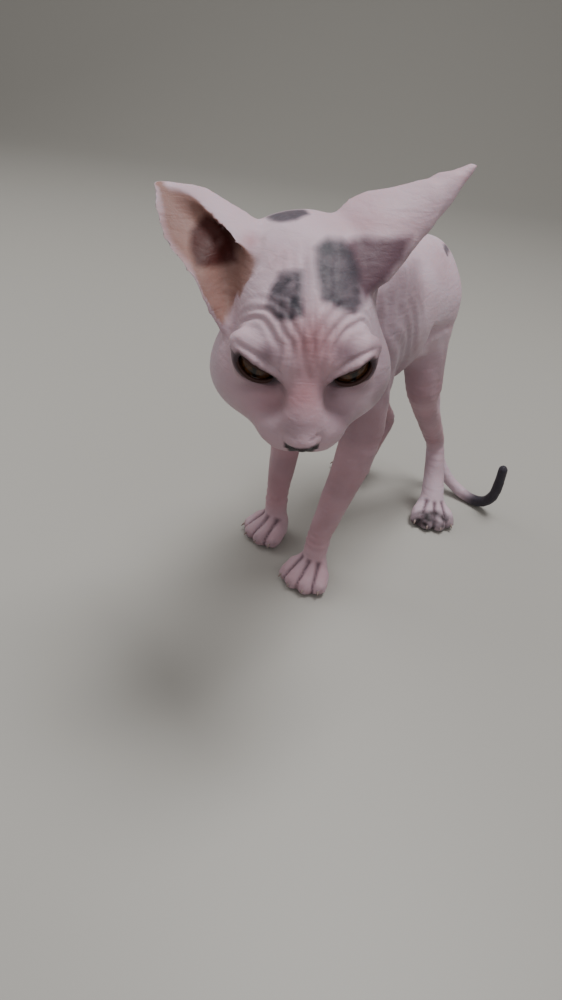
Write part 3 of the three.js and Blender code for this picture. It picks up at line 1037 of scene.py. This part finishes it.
@dataclass
class Sculptor:
    """Moves the skin's vertices as a modeller would, by named folds and features.

    The method of each feature takes points, one a row, and returns how far each moves out along
    its normal. There h is in the head's frame, and p in the cat's as it was modelled.
    """

    head: HeadFrame
    lip_depth: float = 1.1
    philtrum_depth: float = 0.9
    nostril_depth: float = 1.7
    nose_wing_depth: float = 0.5
    brow_arcs: tuple = ((13.6, 0.5), (16.6, 0.42), (19.8, 0.32), (23.2, 0.22))
    furrows: tuple = (-7.5, -4.4, -1.6, 1.6, 4.4, 7.5)
    furrow_depth: float = 0.34
    neck_behind_head: tuple = (-26.0, 26.0, 0.0)
    neck_end: tuple = (2.0, -52.0, 178.0)
    neck_ring_depth: float = 0.32
    neck_ring_pitch: float = 7.5
    slack_depth: float = 0.28
    leg_ring_depth: float = 0.3
    leg_ring_pitch: float = 5.2
    leg_lump_height: float = 0.25
    toe_cleft_depth: float = 1.2

    def sculpt(self, skin: bpy.types.Object) -> None:
        """Adds every fold to the skin.

        Args:
            skin: The skin's object, changed in place.
        """
        points = read_points(skin)
        normals = read_normals(skin)
        h = self.head.inside(points)
        p = points - self.head.shift
        rise = self._mouth(h) + self._nose(h) + self._brow(h)
        for side in Side:
            rise += self._lids(h, Opening(self.head, side))
        rise += self._neck(p, h) + self._legs(p) + self._toes(p)
        moved = points + normals * rise[:, None]
        moved[:, 2] = np.maximum(moved[:, 2], 0.0)
        write_points(skin, moved)

    def _mouth(self, h: Array) -> Array:
        """The line between the lips, and the cleft under the nose.

        Args:
            h: Points in the head's frame.

        Returns:
            How far each point moves out.
        """
        front = smooth_step(-24.0, -32.0, h[:, 1]) * smooth_step(15.0, 11.0, np.abs(h[:, 0]))
        lips = -self.lip_depth * bump(h[:, 2] - mouth_height(h), 0.9) * front
        cleft = -self.philtrum_depth * bump(h[:, 0], 0.8) * smooth_step(-46.0, -49.0, h[:, 1])
        cleft *= smooth_step(-16.0, -14.0, h[:, 2]) * smooth_step(-6.5, -8.0, h[:, 2])
        return lips + cleft

    def _nose(self, h: Array) -> Array:
        """The two nostrils and the crease at the wings of the nose.

        Args:
            h: Points in the head's frame.

        Returns:
            How far each point moves out.
        """
        rise = np.zeros(len(h))
        nostril_front = smooth_step(-50.0, -53.0, h[:, 1])
        wing_front = smooth_step(-47.0, -50.0, h[:, 1])
        for side in Side:
            x = h[:, 0] * side.value
            hole = bump(np.hypot((x - 3.3) / 1.5, (h[:, 2] + 4.9) / 1.1), 1.0)
            rise -= self.nostril_depth * hole * nostril_front
            wing = np.hypot(x - 3.0, (h[:, 2] + 4.0) * 1.1) - 4.6
            rise -= self.nose_wing_depth * bump(wing, 0.7) * (x > 2.5) * (h[:, 2] < 0) * wing_front
        return rise

    def _lids(self, h: Array, opening: Opening) -> Array:
        """The heavy upper lid, the pouch under the eye and the folds around them.

        Args:
            h: Points in the head's frame.
            opening: The opening between the lids.

        Returns:
            How far each point moves out.
        """
        across, up, ahead = opening.place(h)
        lower, upper = opening.clearance(across, up)
        front = smooth_step(2.0, 5.0, ahead)
        span = smooth_step(13.0, 9.0, np.abs(across))
        over = front * span * (up > 0)
        under = front * span * (up < 2)
        rise = bump(upper - 1.5, 1.3) * over
        rise -= 0.9 * bump(upper - 4.2 + 0.02 * across**2, 0.9) * over
        for away, height, width in ((1.2, 0.5, 1.1), (3.3, -0.55, 0.9), (5.2, 0.3, 1.0)):
            rise += height * bump(lower - away, width) * under
        inner_corner = np.hypot(across + 9.5, up + 0.8)
        return rise - 1.1 * bump(inner_corner, 2.0) * front

    def _brow(self, h: Array) -> Array:
        """The frowning folds over the eyes and the furrows up the forehead.

        Args:
            h: Points in the head's frame.

        Returns:
            How far each point moves out.
        """
        rise = np.zeros(len(h))
        front = smooth_step(0.0, -12.0, h[:, 1])
        for side in Side:
            away = h - self.head.eye_middle(side)
            ring = np.linalg.norm(away, axis=1) + 0.7 * value_noise(h, 6.0, 11)
            above = smooth_step(4.0, 9.0, away[:, 2]) * front
            for radius, height in self.brow_arcs:
                rise += height * (bump(ring - radius, 1.0) - bump(ring - radius - 1.6, 0.8)) * above
        wander = 0.8 * value_noise(h, 9.0, 12)
        forehead = smooth_step(15.0, 21.0, h[:, 2]) * smooth_step(14.0, 4.0, h[:, 1])
        for x in self.furrows:
            furrow = bump(h[:, 0] - x * (1.0 + 0.012 * h[:, 2]) + wander, 0.75)
            rise -= self.furrow_depth * furrow * forehead
        return rise

    def _neck(self, p: Array, h: Array) -> Array:
        """Rings of loose skin round the neck, and slack folds over shoulder and groin.

        Args:
            p: Points of the cat.
            h: The same points in the head's frame.

        Returns:
            How far each point moves out.
        """
        start = np.array(HeadFrame.model_origin) + np.array(self.neck_behind_head)
        line = np.array(self.neck_end) - start
        length = np.linalg.norm(line)
        along = (p - start) @ line / length + 2.2 * value_noise(p, 14.0, 21)
        weight = smooth_step(-4.0, 6.0, along) * smooth_step(length + 26.0, length, along)
        weight *= smooth_step(20.0, 30.0, h[:, 1])
        depth = self.neck_ring_depth * (1.0 + value_noise(p, 11.0, 23))
        rings = depth * np.sin(along * 2.0 * math.pi / self.neck_ring_pitch) * weight
        slack = np.sin((p[:, 1] * 0.8 + p[:, 2] * 0.45 + 4.0 * value_noise(p, 18.0, 22)) * 0.75)
        shoulder = smooth_step(-60.0, -50.0, p[:, 1]) * smooth_step(-2.0, -24.0, p[:, 1])
        shoulder *= smooth_step(118.0, 135.0, p[:, 2]) * smooth_step(196.0, 176.0, p[:, 2])
        groin = bump(np.hypot(p[:, 1] - 24.0, p[:, 2] - 136.0), 17.0)
        return rings + self.slack_depth * slack * np.maximum(shoulder, groin)

    def _legs(self, p: Array) -> Array:
        """Rings of slack skin above wrists and hocks and round elbows, and soft lumps.

        Args:
            p: Points of the cat.

        Returns:
            How far each point moves out.
        """
        height = p[:, 2] + 1.4 * value_noise(p, 9.0, 31)
        rings = np.sin(height * 2.0 * math.pi / self.leg_ring_pitch)
        hind = (p[:, 1] > 20).astype(float)
        slack = bump(p[:, 2] - 30.0, 9.0) * (1.0 - hind) + bump(p[:, 2] - 56.0, 11.0) * hind
        slack += 0.45 * bump(p[:, 2] - 106.0, 13.0) * (p[:, 2] < 125)
        lumps = self.leg_lump_height * value_noise(p, 7.0, 32) * smooth_step(140.0, 110.0, p[:, 2])
        tail = smooth_step(84.0, 92.0, p[:, 1]) * smooth_step(70.0, 90.0, p[:, 2])
        return (self.leg_ring_depth * rings * slack + lumps) * (1.0 - tail)

    def _toes(self, p: Array) -> Array:
        """The clefts between toes, fading out at the floor."""
        return -self.toe_cleft_depth * toe_clefts(p) * smooth_step(1.0, 2.5, p[:, 2])


def toe_clefts(p: Array) -> Array:
    """How deep points lie in the cleft between two toes.

    Args:
        p: Points of the cat.

    Returns:
        One in the middle of a cleft, zero away from the paws.
    """
    cleft = np.zeros(len(p))
    for paw in PAWS:
        away = []
        for knuckle, tip, _ in paw.toes():
            on, _ = nearest_on_line(p, (knuckle, tip))
            away.append(np.linalg.norm(p - on, axis=1))
        first, second = np.sort(np.array(away), axis=0)[:2]
        near = smooth_step(11.0, 8.0, first)
        cleft = np.maximum(cleft, bump(second - first, 1.3) * near)
    return cleft


@dataclass(frozen=True)
class Spot:
    """A soft oval on the picture: its middle, its half sizes and its strength."""

    at: tuple
    size: tuple
    strength: float

    def share(self, seen: Array) -> Array:
        """The spot's strength at points of the picture."""
        away = np.hypot((seen[:, 0] - self.at[0]) / self.size[0], (seen[:, 1] - self.at[1]) / self.size[1])
        return self.strength * bump(away, 1.0)


# The outlines of the markings on the picture, in its pixels across and down.
BROW_PATCH_RIGHT = (
    (280, 270), (302, 270), (304, 298), (305, 316),
    (290, 322), (276, 320), (266, 306), (270, 292),
)
BROW_PATCH_LEFT = (
    (314, 248), (329, 237), (343, 240), (353, 252), (359, 270),
    (361, 292), (363, 306), (353, 313), (336, 309), (321, 299), (316, 270),
)
# Painted shade where the left ear's underside turns away from the light.
EAR_SHADE_LEFT = ((342, 244), (356, 238), (412, 237), (404, 258), (384, 284), (366, 300), (354, 280))
NAPE_PATCH = ((263, 213), (270, 207), (303, 207), (309, 214), (297, 221), (280, 223), (268, 220))
RUMP_PATCH = ((444, 242), (448, 245), (449, 257), (446, 257), (443, 248))
# The deep hollow of the right ear: partly its own red, partly painted shade.
EAR_DEEP_RIGHT = (
    (190, 230), (205, 214), (222, 222), (234, 240),
    (237, 262), (218, 267), (197, 267), (190, 250),
)
# Painted shadow of the head on the near shoulder.
SHOULDER_SHADE = ((372, 300), (404, 262), (420, 258), (424, 300), (418, 352), (398, 410), (374, 410))
HIND_TOES_DARK = ((410, 514), (420, 511), (440, 511), (451, 516), (446, 529), (425, 532), (411, 525))
# The nose's dark lower edge: its leather and nostrils, with painted shadow under the nose.
NOSE_DARK = (
    (284, 443), (291, 447), (300, 448.5), (309, 448), (318, 443.5),
    (314, 451), (306, 456), (297, 456), (289, 452),
)
FLUSH_SPOTS = (
    Spot((313, 346), (27, 36), 0.66),
    Spot((306, 392), (18, 26), 0.3),
    Spot((250, 241), (8, 9), 0.6),
    Spot((372, 224), (40, 10), 0.3),
    Spot((290, 400), (34, 16), 0.3),
)
# Spots of the shade layer: painted shade round the inner corners and under the eyes, on the lower face and
# the jowl, and painted shadow along the left ear's lower edge. The first spot darkens the middle of the
# forehead.
SHADE_SPOTS = (
    Spot((309, 282), (7, 32), 0.42),
    Spot((300, 415), (28, 24), 0.15),
    Spot((271, 353), (13, 11), 0.62),
    Spot((346, 352), (14, 11), 0.66),
    Spot((331, 391), (10, 13), 0.6),
    Spot((273, 382), (8, 8), 0.6),
    Spot((256, 386), (20, 8), 0.35),
    Spot((355, 386), (20, 8), 0.4),
    Spot((355, 412), (20, 16), 0.15),
    Spot((345, 425), (18, 14), 0.35),
    Spot((290, 428), (22, 9), 0.2),
    Spot((358, 291), (6, 6), 0.8),
    Spot((378, 276), (12, 6), 0.5),
    Spot((404, 255), (12, 8), 0.6),
)


@dataclass
class Markings:
    """Where the skin is grey, flushed, dark or deep in an ear, and where shade is painted on it.

    The patches of the head are laid down as they are seen from the viewpoint. Points come one a
    row: p in the cat's frame as it was modelled, h in the head's frame, and seen on the picture.
    """

    head: HeadFrame
    view: Viewpoint
    tan_right: float = 0.9
    tan_left: float = 0.6
    hind_start_mm: float = 40.0
    tail_start_mm: float = 95.0

    def paint(self, skin: bpy.types.Object) -> None:
        """Stores the markings as attributes of the skin.

        Args:
            skin: The skin's object.
        """
        points = read_points(skin)
        normals = read_normals(skin)
        h = self.head.inside(points)
        p = points - self.head.shift
        exact = self.view.on_picture(points)
        seen = exact + 1.6 * np.stack([value_noise(p, 5.0, 41), value_noise(p, 5.0, 42)], axis=1)
        shown = smooth_step(-0.05, 0.2, self.view.facing(points, normals))
        reach = np.linalg.norm(h, axis=1)
        on_ear = (np.abs(h[:, 0]) > 12) & (h[:, 2] > 9) & (reach < 90)
        skull = smooth_step(66.0, 60.0, reach) * ((h[:, 2] > 4) | (h[:, 1] < 18))
        on_head = shown * np.maximum(skull, on_ear)
        hollow, along = self._ear_hollow(h, normals @ self.head.axes)
        hollow *= np.where(h[:, 0] < 0, shown, 1.0)
        set_attribute(skin, "grey", self._grey(p, seen, on_head * (1.0 - hollow), shown))
        set_attribute(skin, "flush", self._flush(h, p, seen, on_head))
        # Painted shade: round the eyes, under the left ear, on shoulder, belly and legs, and in the toe
        # clefts.
        set_attribute(skin, "shade", self._shade(h, p, seen, on_head))
        set_attribute(skin, "tan", hollow * np.where(h[:, 0] < 0, self.tan_right, self.tan_left))
        # The ears' deep hollows: partly their own red, partly painted shade.
        set_attribute(skin, "cavity", self._cavity(h, seen, hollow, along))
        # Dark nose leather, lips, lid edges and toe tips, with painted shadow under the nose.
        set_attribute(skin, "leather", self._leather(h, p, exact))

    def _grey(self, p: Array, seen: Array, on_head: Array, shown: Array) -> Array:
        """The grey patches of the forehead, nape, rump and tail end.

        Args:
            p: Points of the cat.
            seen: The points on the picture.
            on_head: Where patches of the head may lie, from 0 to 1.
            shown: Where the viewer sees the skin, from 0 to 1.

        Returns:
            How grey each point is.
        """
        streaks = 0.85 + 0.2 * value_noise(p * np.array([1.0, 1.0, 0.5]), 2.6, 51)
        clouds = 0.92 + 0.12 * value_noise(p, 6.0, 52)
        patches = inside_outline(seen, BROW_PATCH_RIGHT, 4.5) * streaks
        patches = np.maximum(patches, inside_outline(seen, BROW_PATCH_LEFT, 6.0) * clouds)
        patches = np.maximum(patches, 0.9 * inside_outline(seen, NAPE_PATCH, 2.5))
        patches = patches * on_head
        rump = 0.8 * inside_outline(seen, RUMP_PATCH, 1.5) * shown * (p[:, 1] > self.hind_start_mm)
        tail_end = smooth_step(34.0, 50.0, p[:, 0]) * (p[:, 1] > self.tail_start_mm)
        return np.maximum(np.maximum(patches, rump), tail_end)

    def _flush(self, h: Array, p: Array, seen: Array, on_head: Array) -> Array:
        """Pinker skin on the bridge of the nose and the muzzle, pinker and darker legs partly as painted
        shade, and paler paws.

        Args:
            h: Points in the head's frame.
            p: The points of the cat.
            seen: The points on the picture.
            on_head: Where patches of the head may lie, from 0 to 1.

        Returns:
            How pink each point is.
        """
        face = sum(spot.share(seen) for spot in FLUSH_SPOTS) * on_head
        # The legs' flush is partly their own pink and partly painted shade, since they are lit less.
        legs = 0.48 * smooth_step(165.0, 95.0, p[:, 2]) * (p[:, 1] < self.tail_start_mm)
        toes = -0.22 * smooth_step(34.0, 8.0, p[:, 2])
        hind_left = (p[:, 1] > self.hind_start_mm) * (p[:, 0] > 0)
        hind = -0.5 * smooth_step(60.0, 40.0, p[:, 2]) * hind_left
        muzzle = 0.22 * smooth_step(-20.0, -40.0, h[:, 1]) * (h[:, 2] > -20)
        mottle = 0.16 + 0.16 * value_noise(p, 16.0, 5)
        return face + legs + toes + hind + muzzle + mottle

    def _shade(self, h: Array, p: Array, seen: Array, on_head: Array) -> Array:
        """Purple grey painted shade round the eyes, under the left ear, on shoulder, belly and legs and in
        the toe clefts, and a darker tail.

        Args:
            h: Points in the head's frame.
            p: The points of the cat.
            seen: The points on the picture.
            on_head: Where patches of the head may lie, from 0 to 1.

        Returns:
            How shaded each point is.
        """
        face = sum(spot.share(seen) for spot in SHADE_SPOTS)
        face = np.maximum(face, inside_outline(seen, EAR_SHADE_LEFT, 6.0)) * on_head
        # Painted shade round the opening of each eye.
        for side in Side:
            face = np.maximum(face, 0.75 * Opening(self.head, side).ring(h, 6.0, 2.5))
        # Painted shadow of the head on the near shoulder.
        shoulder = 0.42 * inside_outline(seen, SHOULDER_SHADE, 9.0) * smooth_step(-4.0, 6.0, p[:, 0])
        shoulder *= smooth_step(8.0, -6.0, p[:, 1])
        # Painted shade under the belly.
        belly = 0.35 * smooth_step(150.0, 128.0, p[:, 2]) * smooth_step(95.0, 110.0, p[:, 2])
        # Painted shade on the legs, which are lit less.
        legs = 0.16 * smooth_step(130.0, 100.0, p[:, 2]) * smooth_step(20.0, 40.0, p[:, 2])
        legs *= (p[:, 1] < self.tail_start_mm) * (1.0 + 0.7 * value_noise(p, 12.0, 71))
        # The tail is darker.
        legs = np.maximum(legs, 0.14 * (p[:, 1] > self.tail_start_mm))
        # The toe clefts get painted shade.
        body = np.maximum(np.maximum(shoulder, belly), np.maximum(legs, 0.95 * toe_clefts(p)))
        return np.maximum(face, body)

    @staticmethod
    def _ear_hollow(h: Array, normals: Array) -> tuple:
        """The hollow side of both ears.

        Args:
            h: Points in the head's frame.
            normals: Their normals in the same frame.

        Returns:
            One in a hollow and zero outside, and how far out along the ear each point lies.
        """
        hollow = np.zeros(len(h))
        along = np.zeros(len(h))
        for line in EAR_LINES.values():
            nearest, share = nearest_on_line(h, line)
            inward = nearest - h
            away = np.linalg.norm(inward, axis=1)
            toward = np.sum(inward * normals, axis=1) / np.maximum(away, 0.1)
            wide = 18.0 + 10.0 * smooth_step(0.2, 0.5, share)
            here = smooth_step(0.0, 0.35, toward) * smooth_step(1.0, 0.8, away / wide)
            here = here * smooth_step(0.08, 0.16, share)
            along = np.where(here > hollow, share, along)
            hollow = np.maximum(hollow, here)
        return hollow, along

    @staticmethod
    def _cavity(h: Array, seen: Array, hollow: Array, along: Array) -> Array:
        """The deep hollow near the root of each ear, painted dark red: partly its own red, partly painted
        shade.

        Args:
            h: Points in the head's frame.
            seen: The points on the picture.
            hollow: Where the hollow sides of the ears are.
            along: How far out along the ear each point lies.

        Returns:
            How deep in the ear each point is.
        """
        right = inside_outline(seen, EAR_DEEP_RIGHT, 5.0) * (h[:, 0] < 0)
        left = smooth_step(0.5, 0.35, along) * (h[:, 0] > 0)
        return np.maximum(right, left) * hollow

    def _leather(self, h: Array, p: Array, seen: Array) -> Array:
        """Dark nose leather with painted shadow under the nose, lips, lid edges and toe tips.

        Args:
            h: Points in the head's frame.
            p: The points of the cat.
            seen: The points on the picture.

        Returns:
            How dark each point is.
        """
        # The nose's dark lower edge: its leather and nostrils, with painted shadow under the nose.
        nose = inside_outline(seen, NOSE_DARK, 1.4) * smooth_step(-48.0, -50.0, h[:, 1])
        under = smooth_step(-4.0, -5.2, h[:, 2]) * smooth_step(7.0, 6.0, np.abs(h[:, 0]))
        nose = np.maximum(nose, under * smooth_step(-50.5, -52.0, h[:, 1]) * (h[:, 2] > -9.5))
        front = smooth_step(-24.0, -32.0, h[:, 1]) * smooth_step(14.0, 9.0, np.abs(h[:, 0]))
        lips = 0.55 * bump(h[:, 2] - mouth_height(h), 0.8) * front
        dark = np.maximum(nose, lips)
        for side in Side:
            dark = np.maximum(dark, 0.8 * Opening(self.head, side).ring(h, 2.6, 1.4))
        for paw in PAWS:
            for _, tip, heading in paw.toes():
                away = np.linalg.norm(p - tip - heading * 2.0, axis=1)
                blot = bump(away, 5.2) * (0.75 + 0.5 * value_noise(p, 3.0, 61))
                dark = np.maximum(dark, paw.dark * blot * (p[:, 2] < 11))
        mottled = 0.75 + 0.45 * value_noise(p, 3.2, 62)
        hind_toes = (p[:, 1] > self.hind_start_mm) * (p[:, 2] < 16)
        return np.maximum(dark, inside_outline(seen, HIND_TOES_DARK, 3.0) * mottled * hind_toes)


@dataclass
class Eye:
    """One eyeball with its iris, slit pupil and wet shine."""

    head: HeadFrame
    side: Side
    radius_mm: float = 9.15
    look_down: float = 0.12
    slit_half_width: float = 0.13
    slit_half_height: float = 0.5
    rim_deg: float = 49.0
    rim_width_deg: float = 6.0

    def build(self) -> bpy.types.Object:
        """Makes the eyeball in place of the solid one.

        Returns:
            The eye's object.
        """
        deselect_all()
        centre = self.head.outside(self.head.eye_middle(self.side))
        bpy.ops.mesh.primitive_uv_sphere_add(
            segments=64, ring_count=48, radius=self.radius_mm * HeadFrame.scale * MM
        )
        eye = bpy.context.view_layer.objects.active
        eye.name = f"eyeball_{self.side.word}"
        eye.data.transform(Matrix.Translation(Vector(centre * MM)))
        self._mark(eye, centre)
        eye.data.materials.append(EyeFinish().build(f"eye_{self.side.word}"))
        shade_smooth(eye)
        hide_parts(f"eye_{self.side.word}")
        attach(eye, "root")
        log.info("%s: radius %.2f mm", eye.name, self.radius_mm * HeadFrame.scale)
        return eye

    def _mark(self, eye: bpy.types.Object, centre: Array) -> None:
        """Stores where the iris, its dark rim and the pupil are.

        Args:
            eye: The eye's object.
            centre: The eyeball's middle.
        """
        opening = Opening(self.head, self.side)
        gaze = self.head.direction(opening.axes @ np.array([0.0, -1.0, -self.look_down]))
        gaze /= np.linalg.norm(gaze)
        across = np.cross(gaze, self.head.direction(np.array([0.0, 0.0, 1.0])))
        across /= np.linalg.norm(across)
        upright = np.cross(across, gaze)
        out = read_points(eye) - centre
        out /= np.linalg.norm(out, axis=1)[:, None]
        angle = np.degrees(np.arccos(np.clip(out @ gaze, -1.0, 1.0)))
        slit = np.hypot((out @ across) / self.slit_half_width, (out @ upright) / self.slit_half_height)
        set_attribute(eye, "iris", smooth_step(50.0, 46.0, angle))
        set_attribute(eye, "pupil", smooth_step(1.12, 0.9, slit) * (angle < 60))
        set_attribute(eye, "rim", bump(angle - self.rim_deg, self.rim_width_deg))


@dataclass(frozen=True)
class EyeFinish:
    """A wet, very dark amber eye."""

    white: tuple = (0.12, 0.07, 0.065, 1.0)
    iris_dark: tuple = (0.014, 0.006, 0.003, 1.0)
    iris_light: tuple = (0.115, 0.046, 0.015, 1.0)
    pupil: tuple = (0.003, 0.002, 0.002, 1.0)
    streak_scale: float = 900.0

    def build(self, name: str) -> bpy.types.Material:
        """Makes the eye material.

        Args:
            name: The material's name.

        Returns:
            The material.
        """
        material, tree, shader = new_material(name)
        streaks = noise_pattern(tree, object_place(tree), self.streak_scale, 3.0)
        ramp = tree.nodes.new("ShaderNodeValToRGB")
        ends = ((0.3, self.iris_dark), (0.75, self.iris_light))
        for element, (position, colour) in zip(ramp.color_ramp.elements, ends):
            element.position = position
            element.color = colour
        tree.links.new(streaks, ramp.inputs["Fac"])
        colour = mix_colours(tree, self.white, ramp.outputs["Color"], attribute_value(tree, "iris"))
        for part in ("rim", "pupil"):
            colour = mix_colours(tree, colour, self.pupil, attribute_value(tree, part))
        tree.links.new(colour, shader.inputs["Base Color"])
        fill_inputs(shader, {
            "Roughness": 0.3,
            "Specular IOR Level": 0.3,
            "Coat Weight": 0.4,
            "Coat Roughness": 0.08,
        })
        return material


def tube(name: str, route: Array, radii: Array, sides: int) -> bpy.types.Object:
    """A closed round tube along a route.

    Args:
        name: The object's name.
        route: Stations in millimetres, one a row.
        radii: The tube's radius at each station, in millimetres.
        sides: Points round the tube.

    Returns:
        The tube's mesh object.
    """
    curve = bpy.data.curves.new(name, "CURVE")
    curve.dimensions = "3D"
    curve.bevel_depth = MM
    curve.bevel_resolution = max(sides // 4 - 1, 1)
    curve.use_fill_caps = True
    spline = curve.splines.new("POLY")
    spline.points.add(len(route) - 1)
    for point, at, radius in zip(spline.points, route, radii):
        point.co = (*(at * MM), 1.0)
        point.radius = radius
    piece = bpy.data.objects.new(name, curve)
    bpy.context.scene.collection.objects.link(piece)
    select_only(piece)
    bpy.ops.object.convert(target="MESH")
    return bpy.context.view_layer.objects.active


@dataclass
class LidRims:
    """The dark wet edges of the upper and lower lid of one eye."""

    head: HeadFrame
    side: Side
    over_eye_mm: float = 10.3
    upper_mm: float = 1.15
    lower_mm: float = 0.85
    corner_mm: float = 0.45
    upper_bow_mm: float = 0.35
    sides: int = 12

    def build(self, finish: bpy.types.Material) -> bpy.types.Object:
        """Makes both rims as one piece.

        Args:
            finish: The rims' material.

        Returns:
            The rims' object.
        """
        opening = Opening(self.head, self.side)
        low = math.asin(opening.above / opening.below)
        corner = opening.half_width * math.sqrt(1.0 - (opening.above / opening.below) ** 2)
        across = np.linspace(-corner, corner, 25)
        bow = self.upper_bow_mm * (1.0 - (across / corner) ** 2)
        turn = np.linspace(-low, math.pi + low, 31)
        tubes = []
        for name, u, w, full in (
            ("upper", across, opening.above + bow, self.upper_mm),
            ("lower", opening.half_width * np.cos(turn), -opening.below * np.sin(turn), self.lower_mm),
        ):
            route = self.head.outside(opening.on_lid(u, w, self.over_eye_mm))
            share = np.sin(np.linspace(0.0, math.pi, len(u))) ** 0.6
            radii = self.corner_mm + (full - self.corner_mm) * share
            tubes.append(tube(f"rim_{name}", route, radii * HeadFrame.scale, self.sides))
        rims = join_pieces(f"lid_rims_{self.side.word}", tubes)
        rims.data.materials.append(finish)
        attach(rims, "root")
        log.info("%s: %d faces", rims.name, len(rims.data.polygons))
        return rims


@dataclass
class Claws:
    """The four short claws of one paw, curved down to the floor.

    A station of the curve is how far it lies ahead of the claw's root and over it, and its radius.
    """

    head: HeadFrame
    paw: Paw
    curve: tuple = (
        (0.0, 0.0, 0.85), (1.0, 0.0, 0.8), (1.9, -0.4, 0.65), (2.6, -1.1, 0.4), (3.0, -1.9, 0.12),
    )
    ahead_of_tip_mm: float = 3.6
    root_height_mm: float = 5.2
    sides: int = 8

    def build(self, finish: bpy.types.Material) -> bpy.types.Object:
        """Makes the paw's claws as one piece.

        Args:
            finish: The claws' material.

        Returns:
            The claws' object.
        """
        claws = []
        radii = np.array([radius for _, _, radius in self.curve])
        for _, tip, heading in self.paw.toes():
            root = tip + heading * self.ahead_of_tip_mm * self.paw.size
            root[2] = self.root_height_mm
            route = np.array([root + heading * ahead + (0.0, 0.0, over) for ahead, over, _ in self.curve])
            claws.append(tube("claw", route + self.head.shift, radii, self.sides))
        piece = join_pieces(f"claws_{self.paw.name}", claws)
        piece.data.materials.append(finish)
        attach(piece, "root")
        log.info("%s: %d faces", piece.name, len(piece.data.polygons))
        return piece


@dataclass(frozen=True)
class PlainFinish:
    """A one-colour finish mottled by fine noise."""

    name: str
    colour: tuple
    roughness: float
    grain: float
    grain_scale: float = 700.0
    shine: float = 0.25

    def build(self) -> bpy.types.Material:
        """Makes the material, which noise darkens by the share named grain.

        Returns:
            The material.
        """
        material, tree, shader = new_material(self.name)
        noise = noise_pattern(tree, object_place(tree), self.grain_scale, 3.0)
        darker = tuple(channel * (1.0 - self.grain) for channel in self.colour[:3]) + (1.0,)
        tree.links.new(mix_colours(tree, self.colour, darker, noise), shader.inputs["Base Color"])
        fill_inputs(shader, {"Roughness": self.roughness, "Specular IOR Level": self.shine})
        return material


@dataclass
class Studio:
    """A pale floor that sweeps up behind, soft lights and the camera, in metres.

    A lamp is its name, its place, its size and its power in watts.
    """

    view: Viewpoint
    floor_colour: tuple = (0.38, 0.366, 0.338, 1.0)
    floor_front: float = -3.0
    bend_start: float = 1.3
    bend_radius: float = 0.9
    wall_top: float = 4.0
    half_width: float = 5.0
    floor_drop: float = 0.0002
    daylight: tuple = (1.0, 0.98, 0.96, 1.0)
    daylight_strength: float = 0.34
    aim: tuple = (0.0, 0.0, 0.12)
    lamps: tuple = (
        ("key", (0.1, 0.3, 1.5), 0.6, 19.0),
        ("fill", (0.75, -0.8, 0.9), 0.9, 2.2),
        ("side", (-0.9, -0.1, 0.9), 0.8, 4.0),
    )

    def build(self) -> None:
        """Adds the floor, the lights and the camera."""
        self._floor()
        self._lights()
        self._camera()

    def _floor(self) -> None:
        """A plain pale floor that curves up into a wall behind the cat."""
        start, radius = self.bend_start, self.bend_radius
        profile = [(self.floor_front, 0.0), (start, 0.0)]
        turns = np.linspace(0.0, math.pi / 2, 13)[1:]
        profile += [(start + radius * math.sin(t), radius - radius * math.cos(t)) for t in turns]
        profile.append((start + radius, self.wall_top))
        level, side = self.view.level, np.cross(self.view.level, (0.0, 0.0, 1.0))
        corners = [
            tuple(level * ahead + side * across + np.array([0.0, 0.0, rise - self.floor_drop]))
            for ahead, rise in profile
            for across in (-self.half_width, self.half_width)
        ]
        faces = [(2 * i + 1, 2 * i, 2 * i + 2, 2 * i + 3) for i in range(len(profile) - 1)]
        mesh = bpy.data.meshes.new("floor")
        mesh.from_pydata(corners, [], faces)
        floor = bpy.data.objects.new("floor", mesh)
        bpy.context.scene.collection.objects.link(floor)
        shade_smooth(floor)
        material, _, shader = new_material("pale_floor")
        fill_inputs(shader, {"Base Color": self.floor_colour, "Roughness": 0.5})
        mesh.materials.append(material)
        floor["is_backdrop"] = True

    def _lights(self) -> None:
        """Soft light from above and behind, with a weak fill from the front."""
        world = bpy.data.worlds.new("studio")
        bpy.context.scene.world = world
        world.use_nodes = True
        background = world.node_tree.nodes["Background"]
        fill_inputs(background, {"Color": self.daylight, "Strength": self.daylight_strength})
        for name, at, size, power in self.lamps:
            light = bpy.data.lights.new(name, "AREA")
            light.size = size
            light.energy = power
            lamp = bpy.data.objects.new(name, light)
            lamp.location = at
            aim = Vector(self.aim) - Vector(at)
            lamp.rotation_euler = aim.to_track_quat("-Z", "Y").to_euler()
            bpy.context.scene.collection.objects.link(lamp)

    def _camera(self) -> None:
        """The camera at the viewpoint."""
        data = bpy.data.cameras.new("camera")
        data.lens = self.view.lens_mm
        data.sensor_width = self.view.sensor_mm
        data.clip_start = 0.01
        camera = bpy.data.objects.new("camera", data)
        axes = (self.view.right, self.view.up, -self.view.forward)
        turned = Matrix([Vector(axis) for axis in axes]).transposed()
        camera.matrix_world = Matrix.Translation(Vector(self.view.at * MM)) @ turned.to_4x4()
        bpy.context.scene.collection.objects.link(camera)
        bpy.context.scene.camera = camera


def main() -> list:
    """Builds the cat and its studio.
    """
    logging.basicConfig(level=logging.INFO, format="%(name)s: %(message)s")
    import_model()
    solids_box = [list(corner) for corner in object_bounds()]
    head = HeadFrame()
    log.info("head at %s, shift %s", head.origin.round(2), head.shift.round(2))
    Skin(head).build()
    dark_rim = PlainFinish("lid_rim", (0.055, 0.019, 0.016, 1.0), 0.5, 0.5).build()
    for side in Side:
        Eye(head, side).build()
        LidRims(head, side).build(dark_rim)
    horn = PlainFinish("claw_horn", (0.36, 0.27, 0.25, 1.0), 0.35, 0.4).build()
    for paw in PAWS:
        Claws(head, paw).build(horn)
    Studio(Viewpoint(head)).build()
    return solids_box


if __name__ == "__main__":
    cad_box = main()
